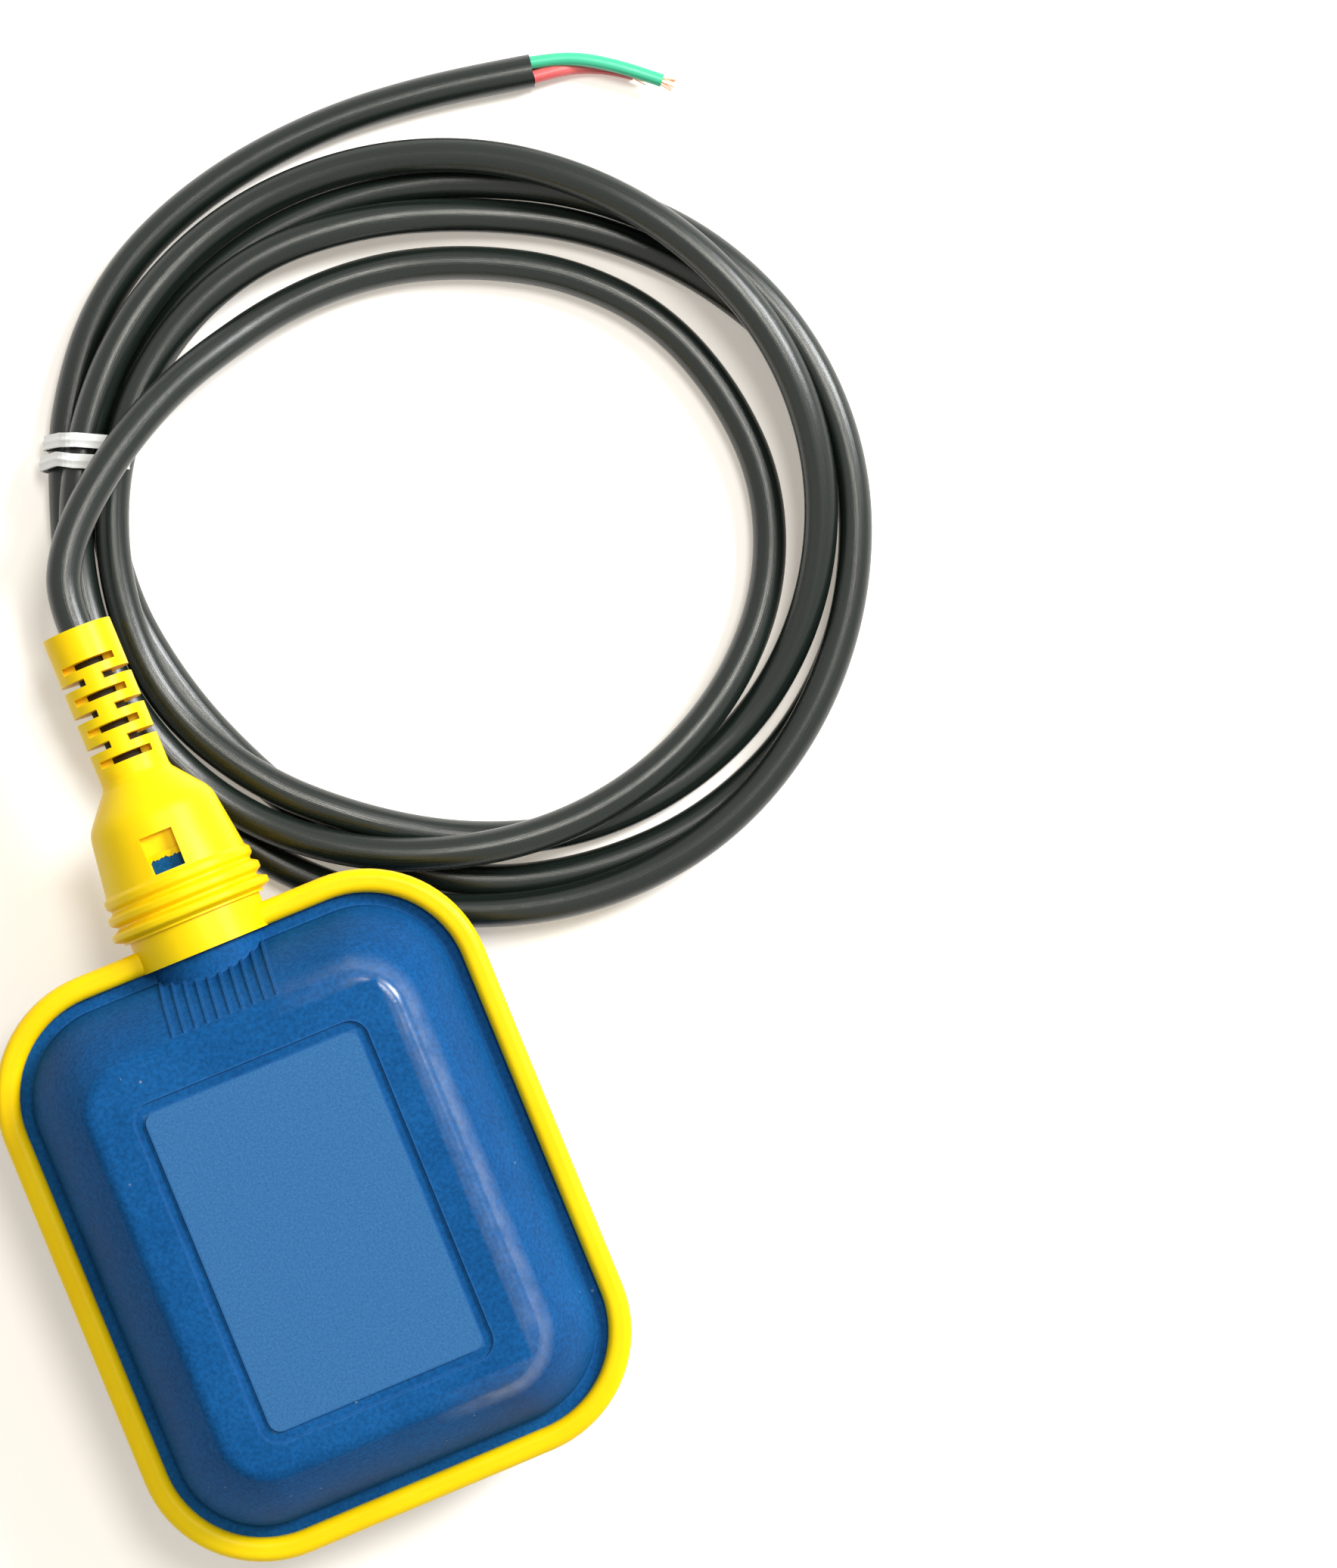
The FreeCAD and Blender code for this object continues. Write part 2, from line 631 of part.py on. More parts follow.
def make_carrier():
    """Open box: floor, four walls, two channel walls for the ball and four screw columns."""
    wall = S["carrier_wall"]
    floor_z = MID - CHANNEL - wall
    depth = CARRIER_FRONT - CARRIER_BACK
    half = CARRIER_WIDTH * 0.5
    tall = 2 * CHANNEL + wall
    hull = block("carrier_hull", -half, CARRIER_BACK, floor_z, CARRIER_WIDTH, depth, tall)
    inside = block("carrier_inside", -half + wall, CARRIER_BACK + wall, floor_z + wall,
                   CARRIER_WIDTH - 2 * wall, depth - 2 * wall, tall)
    notch = block("carrier_notch", SWITCH_LEFT, CARRIER_FRONT - 1.5 * wall, floor_z + wall,
                  S["switch_length"], 2 * wall, tall)
    tray = cut_from("carrier_tray", hull, [inside, notch])
    lane = S["channel_end"] - CARRIER_BACK
    sides = [block("channel_side" + str(n), x, CARRIER_BACK, floor_z, wall, lane, tall)
             for n, x in enumerate((CHANNEL, -CHANNEL - wall))]
    ledge_z = MID - S["switch_thick"] * 0.5
    ledge = block("switch_ledge", SWITCH_LEFT, S["switch_face"] + S["ledge"], floor_z, S["switch_length"],
                  S["switch_depth"] - 2 * S["ledge"], ledge_z - floor_z)
    columns = [rod("column" + str(n), x, y, floor_z, S["boss_radius"], tall)
               for n, (x, y) in enumerate(SCREW_SPOTS)]
    pegs = [rod("switch_peg" + str(n), x, y, floor_z, S["mount_hole_radius"] - S["part_gap"],
                ledge_z - floor_z + S["switch_thick"]) for n, (x, y) in enumerate(MOUNT_SPOTS)]
    solid = fused("carrier_solid", [tray, ledge] + sides + columns + pegs)
    holes = [rod("carrier_hole" + str(n), x, y, floor_z - wall, S["carrier_screw_radius"] + S["part_gap"],
                 tall + 2 * wall) for n, (x, y) in enumerate(SCREW_SPOTS)]
    return cut_from("switch_carrier", solid, holes)


def make_cover():
    depth = CARRIER_FRONT - CARRIER_BACK
    plate = block("cover_plate", -CARRIER_WIDTH * 0.5, CARRIER_BACK, MID + CHANNEL,
                  CARRIER_WIDTH, depth, S["cover_thick"])
    pad_low = MID + S["switch_thick"] * 0.5
    pad = block("cover_pad", SWITCH_LEFT + S["ledge"], S["switch_face"] + S["ledge"], pad_low + S["part_gap"],
                S["switch_length"] - 2 * S["ledge"], S["switch_depth"] - 2 * S["ledge"],
                MID + CHANNEL + S["cover_thick"] * 0.5 - pad_low - S["part_gap"])
    holes = [rod("cover_hole" + str(n), x, y, MID, S["carrier_screw_radius"] + S["part_gap"], MID)
             for n, (x, y) in enumerate(SCREW_SPOTS)]
    pockets = [rod("peg_pocket" + str(n), x, y, MID, S["mount_hole_radius"] + S["part_gap"],
                   S["switch_thick"] * 0.5 + S["part_gap"] * 3) for n, (x, y) in enumerate(MOUNT_SPOTS)]
    return cut_from("carrier_cover", fused("cover_solid", [plate, pad]), holes + pockets)


def make_screws():
    top = MID + CHANNEL + S["cover_thick"]
    low = MID - CHANNEL - S["carrier_wall"] - S["screw_bite"]
    pieces = []
    for n, (x, y) in enumerate(SCREW_SPOTS):
        shank = rod("screw_shank" + str(n), x, y, low, S["carrier_screw_radius"], top - low)
        head = rod("screw_head" + str(n), x, y, top, S["screw_head_radius"], S["screw_head_height"])
        recess = block("screw_slot" + str(n), x - S["screw_head_radius"], y - S["screw_slot"] * 0.5,
                       top + S["screw_head_height"] * 0.5, 2 * S["screw_head_radius"], S["screw_slot"],
                       S["screw_head_height"])
        pieces.append(cut_from("screw" + str(n), fused("screw_blank" + str(n), [shank, head]), [recess]))
    group = doc.addObject("Part::Compound", "carrier_screws")
    group.Links = pieces
    return group


PIVOT_Y = S["switch_face"] - S["lever_drop"]
SWITCH_LOW = MID - S["switch_thick"] * 0.5
CASE_THICK = S["switch_thick"] - S["switch_cover"]
MOUNT_X = (S["switch_length"] - S["mount_hole_dx"]) * 0.5
MOUNT_Y = (S["switch_depth"] - S["mount_hole_dy"]) * 0.5
MOUNT_SPOTS = [(SWITCH_LEFT + MOUNT_X, S["switch_face"] + MOUNT_Y),
               (SWITCH_LEFT + MOUNT_X + S["mount_hole_dx"], S["switch_face"] + MOUNT_Y + S["mount_hole_dy"])]
SWING = math.radians(S["lever_swing"].value)
CONTACT = S["plunger_radius"] + S["lever_thick"] * 0.5 + S["ball_gap"]
SWING_TEXT = S["lever_swing"].text + " * 1 deg"
SWING_TAN = Size("tan(" + SWING_TEXT + ")", math.tan(SWING))
SWING_COS = Size("cos(" + SWING_TEXT + ")", math.cos(SWING))
PLUNGER_X = S["lever_pivot_x"] + S["plunger_arm"]
PLUNGER_REST = PIVOT_Y - S["plunger_arm"] * SWING_TAN + CONTACT / SWING_COS
PLUNGER_TRAVEL = PIVOT_Y + CONTACT - PLUNGER_REST


def make_microswitch():
    holes_low = SWITCH_LOW - S["part_gap"]
    tall = S["switch_thick"] + 2 * S["part_gap"]
    blank = block("case_blank", SWITCH_LEFT, S["switch_face"], SWITCH_LOW, S["switch_length"],
                  S["switch_depth"], CASE_THICK)
    fork = S["lever_width"] + 2 * S["ball_gap"]
    ear_tall = fork + 2 * S["ear_thick"]
    ear_low = MID - ear_tall * 0.5
    ear = block("case_ear", SWITCH_LEFT, PIVOT_Y - S["ear_reach"], ear_low, 2 * S["pivot_end"],
                S["ear_reach"] + S["lever_drop"] + S["ear_root"], ear_tall)
    ear_gap = block("case_ear_gap", SWITCH_LEFT, PIVOT_Y - S["pivot_end"], MID - fork * 0.5,
                    2 * S["pivot_end"], S["pivot_end"] + S["lever_drop"], fork)
    pin_hole = rod("pin_hole", S["lever_pivot_x"], PIVOT_Y, ear_low, S["pivot_radius"], ear_tall)
    way = rod("plunger_way", PLUNGER_X, S["switch_face"], MID, S["plunger_radius"] + S["pivot_gap"],
              PLUNGER_REST + S["plunger_length"] + PLUNGER_TRAVEL + S["ball_gap"] - S["switch_face"], "Y")
    mounts = [rod("case_mount" + str(n), x, y, holes_low, S["mount_hole_radius"], tall)
              for n, (x, y) in enumerate(MOUNT_SPOTS)]
    case = cut_from("microswitch_case", fused("case_solid", [blank, ear]), [ear_gap, pin_hole, way] + mounts)
    lid = block("lid_plate", SWITCH_LEFT, S["switch_face"], SWITCH_LOW + CASE_THICK, S["switch_length"],
                S["switch_depth"], S["switch_cover"])
    lid_holes = [rod("lid_mount" + str(n), x, y, holes_low, S["mount_hole_radius"], tall)
                 for n, (x, y) in enumerate(MOUNT_SPOTS)]
    cover = cut_from("microswitch_cover", lid, lid_holes)
    pin = rod("lever_pivot_pin", S["lever_pivot_x"], PIVOT_Y, ear_low, S["pivot_radius"], ear_tall)
    stem = rod("plunger_stem", PLUNGER_X, PLUNGER_REST, MID, S["plunger_radius"], S["plunger_length"], "Y")
    tip = doc.addObject("Part::Sphere", "plunger_tip")
    bind(tip, "Radius", S["plunger_radius"])
    move(tip, PLUNGER_X, PLUNGER_REST, MID)
    plunger = fused("microswitch_plunger", [stem, tip])
    return [case, cover, pin, plunger]


def make_lever():
    """Spring-steel lever drawn flat along +X from its pivot, then swung to its free position."""
    hub_radius = S["pivot_radius"] + S["pivot_gap"] + S["hub_wall"]
    low = -S["lever_width"] * 0.5
    hub = rod("lever_hub", 0, 0, low, hub_radius, S["lever_width"])
    blade = block("lever_blade", S["pivot_radius"] + S["pivot_gap"], -S["lever_thick"] * 0.5, low,
                  S["lever_length"], S["lever_thick"], S["lever_width"])
    bore = rod("lever_bore", 0, 0, low, S["pivot_radius"] + S["pivot_gap"], S["lever_width"])
    lever = cut_from("actuator_lever", fused("lever_solid", [hub, blade]), [bore])
    lever.Placement = FreeCAD.Placement(V(0, 0, 0), FreeCAD.Rotation(V(0, 0, 1), -S["lever_swing"].value))
    bind(lever, "Placement.Rotation.Angle", -S["lever_swing"])
    move(lever, S["lever_pivot_x"], PIVOT_Y, MID)
    return lever


TERMINAL_XS = [SWITCH_LEFT + S["switch_length"] * 0.5 + n * S["terminal_pitch"] for n in (-1, 0, 1)]


def make_terminals():
    pieces = []
    for name, x in zip(("terminal_common", "terminal_open", "terminal_closed"), TERMINAL_XS):
        tab = block(name + "_tab", x - S["terminal_width"] * 0.5, TERMINAL_Y, MID - S["terminal_thick"] * 0.5,
                    S["terminal_width"], S["terminal_length"], S["terminal_thick"])
        eye = rod(name + "_eye", x, TERMINAL_Y + S["eye_offset"], MID - S["terminal_thick"],
                  S["eye_radius"], 2 * S["terminal_thick"])
        pieces.append(cut_from(name, tab, [eye]))
        start = TERMINAL_Y + S["terminal_length"] - S["sleeve_grip"]
        around = S["terminal_width"] * 0.5 + S["part_gap"]
        skin = rod(name + "_sleeve_out", x, start, MID, around + S["sleeve_wall"], S["sleeve_length"], "Y")
        inner = rod(name + "_sleeve_in", x, start, MID, around, S["sleeve_length"], "Y")
        pieces.append(cut_from(name.replace("terminal", "sleeve"), skin, [inner]))
    return pieces


def make_ball():
    ball = doc.addObject("Part::Sphere", "steel_ball")
    ball.Label = "steel_ball"
    bind(ball, "Radius", S["ball_radius"])
    move(ball, 0, BALL_REST, MID)
    return ball


def make_potting():
    run = S["potting_length"]
    plug_radius = S["neck_radius"] - S["neck_wall"] - S["part_gap"]
    plug = rod("potting_plug", 0, POTTING_START, MID, plug_radius, run, "Y")
    way = rod("potting_way", 0, POTTING_START, MID, S["cable_radius"] + S["mould_gap"], run, "Y")
    return cut_from("neck_resin", plug, [way])


def make_gland_cable():
    sheath = rod("cable_in_gland", 0, POTTING_START, MID, S["cable_radius"],
                 RELIEF_END - POTTING_START, "Y")
    return sheath


# Cables
RUN_SHARE = 0.45


def tube(name, points, radius):
    """A round tube along straight runs joined by tangent arcs as large as the runs allow."""
    spots = [V(*point) for point in points]
    edges = []
    start = spots[0]
    radii = []
    for before, corner, after in zip(spots, spots[1:], spots[2:]):
        back, ahead = before - corner, after - corner
        reach = RUN_SHARE * min(back.Length, ahead.Length)
        half_turn = (math.pi - back.getAngle(ahead)) / 2
        bend = reach / math.tan(half_turn)
        radii.append(bend)
        back.normalize()
        ahead.normalize()
        inward = back + ahead
        inward.normalize()
        enter, leave = corner + back * reach, corner + ahead * reach
        middle = corner + inward * (bend / math.cos(half_turn) - bend)
        edges.append(Part.LineSegment(start, enter).toShape())
        edges.append(Part.Arc(enter, middle, leave).toShape())
        start = leave
    edges.append(Part.LineSegment(start, spots[-1]).toShape())
    path = Part.Wire(edges)
    outline = Part.Wire([Part.Circle(spots[0], spots[1] - spots[0], radius).toShape()])
    solid = path.makePipeShell([outline], True, True)
    thing = doc.addObject("Part::Feature", name)
    thing.Label = name
    thing.Shape = solid
    expected = math.pi * radius ** 2 * path.Length
    print(name, "length", round(path.Length, 1), "volume ratio", round(solid.Volume / expected, 4),
          "smallest radius", round(min(radii), 1) if radii else "straight")
    return thing


def make_inner_cores():
    """Three insulated cores from the terminals to the sheath's end in the potting."""
    fan = S["core_radius"].value * 1.16
    ends = {"inner_core_green": (-fan, -fan * 0.58), "inner_core_red": (0, fan * 1.16),
            "inner_core_black": (fan, -fan * 0.58)}
    start_y = (TERMINAL_Y + S["terminal_length"]).value
    end_y = POTTING_START.value
    middle = MID.value
    straight = (end_y - start_y) * S["core_share"].value
    pieces = []
    for (name, (end_x, end_z)), x in zip(ends.items(), TERMINAL_XS):
        points = [(x.value, start_y, middle), (x.value, start_y + straight, middle),
                  (end_x, end_y - straight, middle + end_z), (end_x, end_y, middle + end_z)]
        pieces.append(tube(name, points, S["core_radius"].value))
    return pieces


# Routes of the cable outside, chosen by hand from the photograph. Each point is x, y from the
# boot's end, and a height: 1 is the boot's middle and 0 is a cable that lies on the floor.
BOOT_END = RELIEF_END.value
LYING = S["cable_radius"].value
LEAD_ROUTE = [(0.0, 0.0, 1.0), (0.0, 7.0, 1.0), (1.9, 13.8, 0.955), (5.8, 20.3, 0.86),
              (11.5, 26.0, 0.745), (18.7, 30.6, 0.63), (27.0, 34.1, 0.49), (36.3, 36.5, 0.31),
              (46.2, 38.0, 0.13)]
TAIL_ROUTE = [(0.4, -2.0, 0), (1.1, 8.0, 0), (3.9, 17.7, 0), (7.9, 28.1, 0), (13.0, 37.9, 0),
              (19.6, 46.3, 0), (27.6, 52.8, 0), (37.0, 57.5, 0), (47.8, 60.8, 0), (59.5, 62.6, 0),
              (71.5, 63.0, 0), (83.2, 62.0, 0), (93.6, 60.4, 0), (102.3, 58.7, 0)]

# Cores beyond the sheath's end: sideways in the sheath and up from the floor, then along the end
CORE_SPOTS = {"green": (1.2, 0.03), "red": (-1.2, 0.03), "black": (0.0, -0.079)}
CORE_ROUTES = {
    "green": [(106.5, 59.1, 0.03), (110.9, 56.9, 0.044), (115.0, 53.8, 0.044), (118.5, 50.6, 0.036),
              (121.1, 48.1, 0.03)],
    "red": [(106.0, 56.75, 0.03), (110.1, 54.6, 0.008), (113.8, 51.9, -0.02), (117.3, 49.2, -0.04)],
    "black": [(106.3, 57.95, -0.083), (110.9, 57.1, -0.09), (115.4, 55.9, -0.09), (119.6, 53.9, -0.09)]}

COIL_X = 64.5
COIL_Y = BOOT_END - S["coil_setback"].value
COIL_TALL = 4 * LYING - S["coil_nest"].value
COIL_OUT = 66.2
COIL_IN = {"mean": 46.9, "aside": 5.05, "across": 3.2, "oval": 2.7}
COIL_TURN = math.radians(160)
COIL_STEPS = 24
TIE_TAIL_WAY = V(1, -1.6, 0.1)


def placed(route):
    """A route's points in the part's frame."""
    return [(x, BOOT_END + y, LYING + share * (MID.value - LYING)) for x, y, share in route]


def core_route(colour):
    """The route of a core, which leaves the sheath's cut end square to it."""
    before, end = placed(TAIL_ROUTE)[-2:]
    ahead = (V(*end) - V(*before)).normalize()
    aside, up = CORE_SPOTS[colour]
    start = V(*end) + V(-ahead.y, ahead.x, 0) * aside + V(0, 0, up * (MID.value - LYING))
    follow = placed(CORE_ROUTES[colour])
    first = start + ahead * (V(*follow[0]) - start).Length
    return [tuple(start), tuple(first)] + follow[1:]


def make_coil():
    """One closed solid of the coil's outer shape: a ring that is wide away from the tie."""
    def outline(radius_at, height):
        spots = []
        for n in range(COIL_STEPS):
            angle = 2 * math.pi * n / COIL_STEPS
            radius = radius_at(angle - COIL_TURN)
            spots.append(V(COIL_X + radius * math.cos(angle), COIL_Y + radius * math.sin(angle), height))
        curve = Part.BSplineCurve()
        curve.interpolate(spots, PeriodicFlag=True)
        return Part.Wire([curve.toShape()])

    def inner(turn):
        return (COIL_IN["mean"] + COIL_IN["aside"] * math.cos(turn) + COIL_IN["across"] * math.sin(turn)
                + COIL_IN["oval"] * math.cos(2 * turn))

    tall, edge = COIL_TALL, S["coil_edge"].value
    whole = Part.makeLoft([outline(lambda turn: COIL_OUT - edge * (1 - cut), height)
                           for cut, height in ((0, 0), (1, edge), (1, tall - edge), (0, tall))], True, True)
    hole = Part.makeLoft([outline(lambda turn: inner(turn) + edge * (1 - cut), height)
                          for cut, height in ((0, 0), (1, edge), (1, tall - edge), (0, tall))], True, True)
    thing = doc.addObject("Part::Feature", "cable_coil")
    thing.Label = "cable_coil"
    thing.Shape = whole.cut(hole)
    return thing


def make_tie():
    """Flat twist tie: two bands round the bundle, fanned apart at the cable's outer side."""
    band, thick, tall = S["tie_band"].value, S["tie_thick"].value, COIL_TALL
    span = S["tie_span"].value

    def across(box):
        return [edge for edge in box.Edges if edge.BoundBox.YLength > band / 2]

    loops = []
    for turn in (-1, 1):
        outer = Part.makeBox(span + 2 * thick, band, tall + 2 * thick, V(0, -band / 2, 0))
        inner = Part.makeBox(span, band, tall, V(thick, -band / 2, thick))
        corner = S["coil_edge"].value
        outer = outer.makeFillet(corner, across(outer))
        inner = inner.makeFillet(corner - thick / 2, across(inner))
        loop = outer.cut(inner)
        loop.rotate(V(0, 0, 0), V(0, 0, 1), turn * S["tie_fan"].value)
        loops.append(loop)
    core = S["tie_core"].value
    tails = Part.makeCylinder(core, S["tie_tail"].value, V(span + 2 * thick, 0, core), TIE_TAIL_WAY)
    thing = doc.addObject("Part::Feature", "twist_tie")
    thing.Label = "twist_tie"
    thing.Shape = loops[0].fuse(loops[1]).fuse(tails)
    angle = math.radians(S["tie_turn"].value)
    spot = V(COIL_X, COIL_Y, 0) + V(math.cos(angle), math.sin(angle), 0) * S["tie_inner"].value
    thing.Placement = FreeCAD.Placement(spot, FreeCAD.Rotation(V(0, 0, 1), S["tie_turn"].value))
    return thing


def make_strands(name, route):
    """Bare copper at a core's cut end, in line with the core's last run."""
    end, before = V(*route[-1]), V(*route[-2])
    ahead = (end - before).normalize()
    thing = doc.addObject("Part::Feature", name)
    thing.Label = name
    thing.Shape = Part.makeCone(S["strand_radius"].value, S["strand_spread"].value,
                                S["strand_length"].value, end, ahead)
    return thing


sheath_radius = S["cable_radius"].value
pieces = [make_upper_shell(), make_lower_shell(), make_sealing_overmould()]
pieces += [make_carrier(), make_cover(), make_screws(), make_lever(), make_ball()]
pieces += [make_potting(), make_gland_cable(), make_coil(), make_tie()]
pieces += make_microswitch() + make_terminals() + make_inner_cores()
pieces.append(tube("cable_lead", placed(LEAD_ROUTE), sheath_radius))
pieces.append(tube("cable_tail", placed(TAIL_ROUTE), sheath_radius))
for colour in CORE_ROUTES:
    route = core_route(colour)
    pieces.append(tube("core_" + colour, route, S["core_radius"].value))
    pieces.append(make_strands("strands_" + colour, route))

# Every object must have recomputed cleanly before anything is written
doc.recompute()
failed = [thing.Name for thing in doc.Objects if "Invalid" in thing.State or "Error" in thing.State]
assert not failed, failed
for piece in pieces:
    shape = piece.Shape
    assert not shape.isNull() and shape.isValid(), piece.Name
    print(piece.Name, "solids", len(shape.Solids), "volume", round(shape.Volume, 1))
    shape.exportStep(os.path.join("parts", piece.Name + ".step"))
print(len(pieces), "nodes")
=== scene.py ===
# %% [markdown]
# # A cable float switch
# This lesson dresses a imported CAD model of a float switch: two blue shells in a soft yellow rim, a
# slotted boot, and a black cable that lies in a loose tied coil. The CAD model stays as the frame, so
# every piece made here goes where the frame says, in metres.

# %% Load the frame
import json
import math

import bmesh
import bpy
from mathutils import Matrix, Vector, noise
from mathutils.geometry import convex_hull_2d


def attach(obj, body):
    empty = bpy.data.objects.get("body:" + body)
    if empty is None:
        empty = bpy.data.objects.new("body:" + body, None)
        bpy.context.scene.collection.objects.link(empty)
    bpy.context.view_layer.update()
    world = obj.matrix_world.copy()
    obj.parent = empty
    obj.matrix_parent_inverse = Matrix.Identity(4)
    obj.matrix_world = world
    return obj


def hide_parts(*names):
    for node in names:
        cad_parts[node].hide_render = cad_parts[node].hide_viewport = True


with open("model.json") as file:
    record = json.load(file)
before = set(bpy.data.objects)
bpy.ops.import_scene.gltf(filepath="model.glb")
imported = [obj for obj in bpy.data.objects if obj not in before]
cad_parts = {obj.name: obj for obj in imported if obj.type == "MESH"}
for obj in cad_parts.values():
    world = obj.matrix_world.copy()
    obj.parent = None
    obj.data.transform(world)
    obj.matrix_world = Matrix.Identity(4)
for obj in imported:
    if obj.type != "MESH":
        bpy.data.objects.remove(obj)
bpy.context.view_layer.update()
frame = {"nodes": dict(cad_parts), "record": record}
MM = 0.001


# %% [markdown]
# ## The camera
# The photograph looks down on the switch from a little to the right of it. A real camera that is
# leaned over keeps its lens centred, so the view is set by a place and a turn, and no shift is used.

# %% Camera
def add_object(name, data):
    made = bpy.data.objects.new(name, data)
    bpy.context.scene.collection.objects.link(made)
    return made


camera_data = bpy.data.cameras.new("photo_camera")
camera_data.sensor_fit = "HORIZONTAL"
camera_data.sensor_width = 36
camera_data.lens = 101.84
camera_data.clip_start = 0.01
camera = add_object("photo_camera", camera_data)
camera.location = (0.03834, 0.04657, 0.62203)
camera.rotation_euler = (0.01688, -0.06331, -0.39014)
bpy.context.scene.camera = camera
print("camera height", round(camera.location.z, 3), "m, lens", round(camera_data.lens, 1), "mm")


# %% [markdown]
# ## Small helpers for nodes
# Materials below are built from a few lines each. `add_node` makes one node, sets its options and
# links or sets its inputs. The helpers after it make one common node each and give back its result,
# so that a material reads from top to bottom like a recipe.

# %% Node helpers
def set_inputs(tree, node, inputs):
    for key, value in inputs.items():
        if isinstance(value, bpy.types.NodeSocket):
            tree.links.new(value, node.inputs[key])
        else:
            node.inputs[key].default_value = value


def add_node(tree, kind, inputs=None, **options):
    made = tree.nodes.new("ShaderNode" + kind)
    for key, value in options.items():
        setattr(made, key, value)
    set_inputs(tree, made, inputs or {})
    return made


def math_node(tree, operation, first, second=0.0):
    return add_node(tree, "Math", {0: first, 1: second}, operation=operation).outputs[0]


def noise_node(tree, place, scale, **more):
    return add_node(tree, "TexNoise", {"Vector": place, "Scale": scale, **more}).outputs["Fac"]


def map_range(tree, value, low, high, new_low=0.0, new_high=1.0):
    return add_node(tree, "MapRange", {"Value": value, "From Min": low, "From Max": high,
                    "To Min": new_low, "To Max": new_high}).outputs["Result"]


def mix_colours(tree, share, first, second, blend="MIX"):
    return add_node(tree, "Mix", {"Factor": share, 6: first, 7: second}, data_type="RGBA",
                    blend_type=blend).outputs[2]


def ramp_node(tree, factor, stops):
    made = add_node(tree, "ValToRGB", {"Fac": factor})
    points = made.color_ramp.elements
    for stop in stops[2:]:
        points.new(stop[0])
    for point, (place, colour) in zip(points, sorted(stops)):
        point.position = place
        point.color = (*colour, 1)
    return made.outputs["Color"]


def object_place(tree):
    return add_node(tree, "TexCoord").outputs["Object"]


# %% [markdown]
# ## Helpers for whole materials
# A finish is kept under its name, so that pieces can ask for it later. A node group is an effect
# that is built once and placed in many finishes. `add_bump` lays a bump on top of the normal that a
# shader already has, so that fine and slow relief can be stacked.

# %% Material helpers
finishes = {}


def new_material(name):
    finishes[name] = bpy.data.materials.new(name + "_finish")
    finishes[name].use_nodes = True
    tree = finishes[name].node_tree
    return tree, tree.nodes["Principled BSDF"]


def new_group(name, inputs, outputs):
    tree = bpy.data.node_groups.new(name, "ShaderNodeTree")
    for title, kind, value in inputs:
        socket = tree.interface.new_socket(title, in_out="INPUT", socket_type="NodeSocket" + kind)
        if value is not None:
            socket.default_value = value
    for title in outputs:
        tree.interface.new_socket(title, in_out="OUTPUT", socket_type="NodeSocketFloat")
    return tree, tree.nodes.new("NodeGroupInput").outputs, tree.nodes.new("NodeGroupOutput")


def place_group(tree, group, **inputs):
    return add_node(tree, "Group", inputs, node_tree=group).outputs


def add_bump(tree, shader, height, strength, distance):
    relief = {"Height": height, "Strength": strength, "Distance": distance}
    if shader.inputs["Normal"].is_linked:
        relief["Normal"] = shader.inputs["Normal"].links[0].from_socket
    set_inputs(tree, shader, {"Normal": add_node(tree, "Bump", relief).outputs["Normal"]})


print("helpers ready")

# %% [markdown]
# ## Effects that several finishes share
# Moulded plastic is never one flat tone. `moulded_grain` gives a fine spark-eroded grain and a slow
# cloudy tone, and `handling_marks` gives faint scuffs and dust specks. `worn_edges` compares the
# real normal with a rounded one, so that it lights up where an edge would be rubbed.

# %% Moulded grain
grain_group, given, result = new_group(
    "moulded_grain", [("Place", "Vector", None), ("Scale", "Float", 1500.0)], ["Tone", "Height"])
set_inputs(grain_group, result, {
    "Tone": noise_node(grain_group, given["Place"], 45.0, Detail=4.0, Roughness=0.55),
    "Height": noise_node(grain_group, given["Place"], given["Scale"], Detail=3.0, Roughness=0.6)})
print("group", grain_group.name)

# %% Handling marks
marks_group, given, result = new_group(
    "handling_marks", [("Place", "Vector", None), ("Amount", "Float", 0.5)], ["Scuffs", "Specks"])
stretched = add_node(marks_group, "Mapping", {"Vector": given["Place"], "Rotation": (0.0, 0.0, 0.6),
                     "Scale": (1.0, 7.0, 1.0)}).outputs["Vector"]
scratch = noise_node(marks_group, stretched, 140.0, Detail=6.0, Roughness=0.7, Distortion=0.6)
thin = map_range(marks_group, scratch, 0.62, 0.72)
speck = add_node(marks_group, "TexVoronoi", {"Vector": given["Place"], "Scale": 420.0})
dots = map_range(marks_group, speck.outputs["Distance"], 0.12, 0.05)
few = math_node(marks_group, "GREATER_THAN", noise_node(marks_group, given["Place"], 90.0), 0.63)
for title, value in (("Scuffs", thin), ("Specks", math_node(marks_group, "MULTIPLY", dots, few))):
    set_inputs(marks_group, result, {title: math_node(marks_group, "MULTIPLY", value, given["Amount"])})
print("group", marks_group.name)

# %% Worn edges
edge_group, given, result = new_group("worn_edges", [("Width", "Float", 0.0006)], ["Mask"])
rounded = add_node(edge_group, "Bevel", {"Radius": given["Width"]}, samples=6).outputs["Normal"]
true_normal = add_node(edge_group, "NewGeometry").outputs["Normal"]
along = add_node(edge_group, "VectorMath", {0: rounded, 1: true_normal}, operation="DOT_PRODUCT")
set_inputs(edge_group, result, {"Mask": map_range(edge_group, along.outputs["Value"], 0.995, 0.86)})
print("group", edge_group.name)


# %% [markdown]
# ## The blue shells
# The shells are moulded in a dull blue plastic with a fine grain that breaks up the light. The
# framed field has a coarser grain, which makes it look paler. A gloss that varies a little from place
# to place is what tells the eye that this is plastic and not paint.

# %% Blue shell finish
GRAIN_DEPTH = 0.00004
EDGE_WIDTH = 0.0007
WEAR = 0.35
DUST = (0.5, 0.52, 0.54, 1)


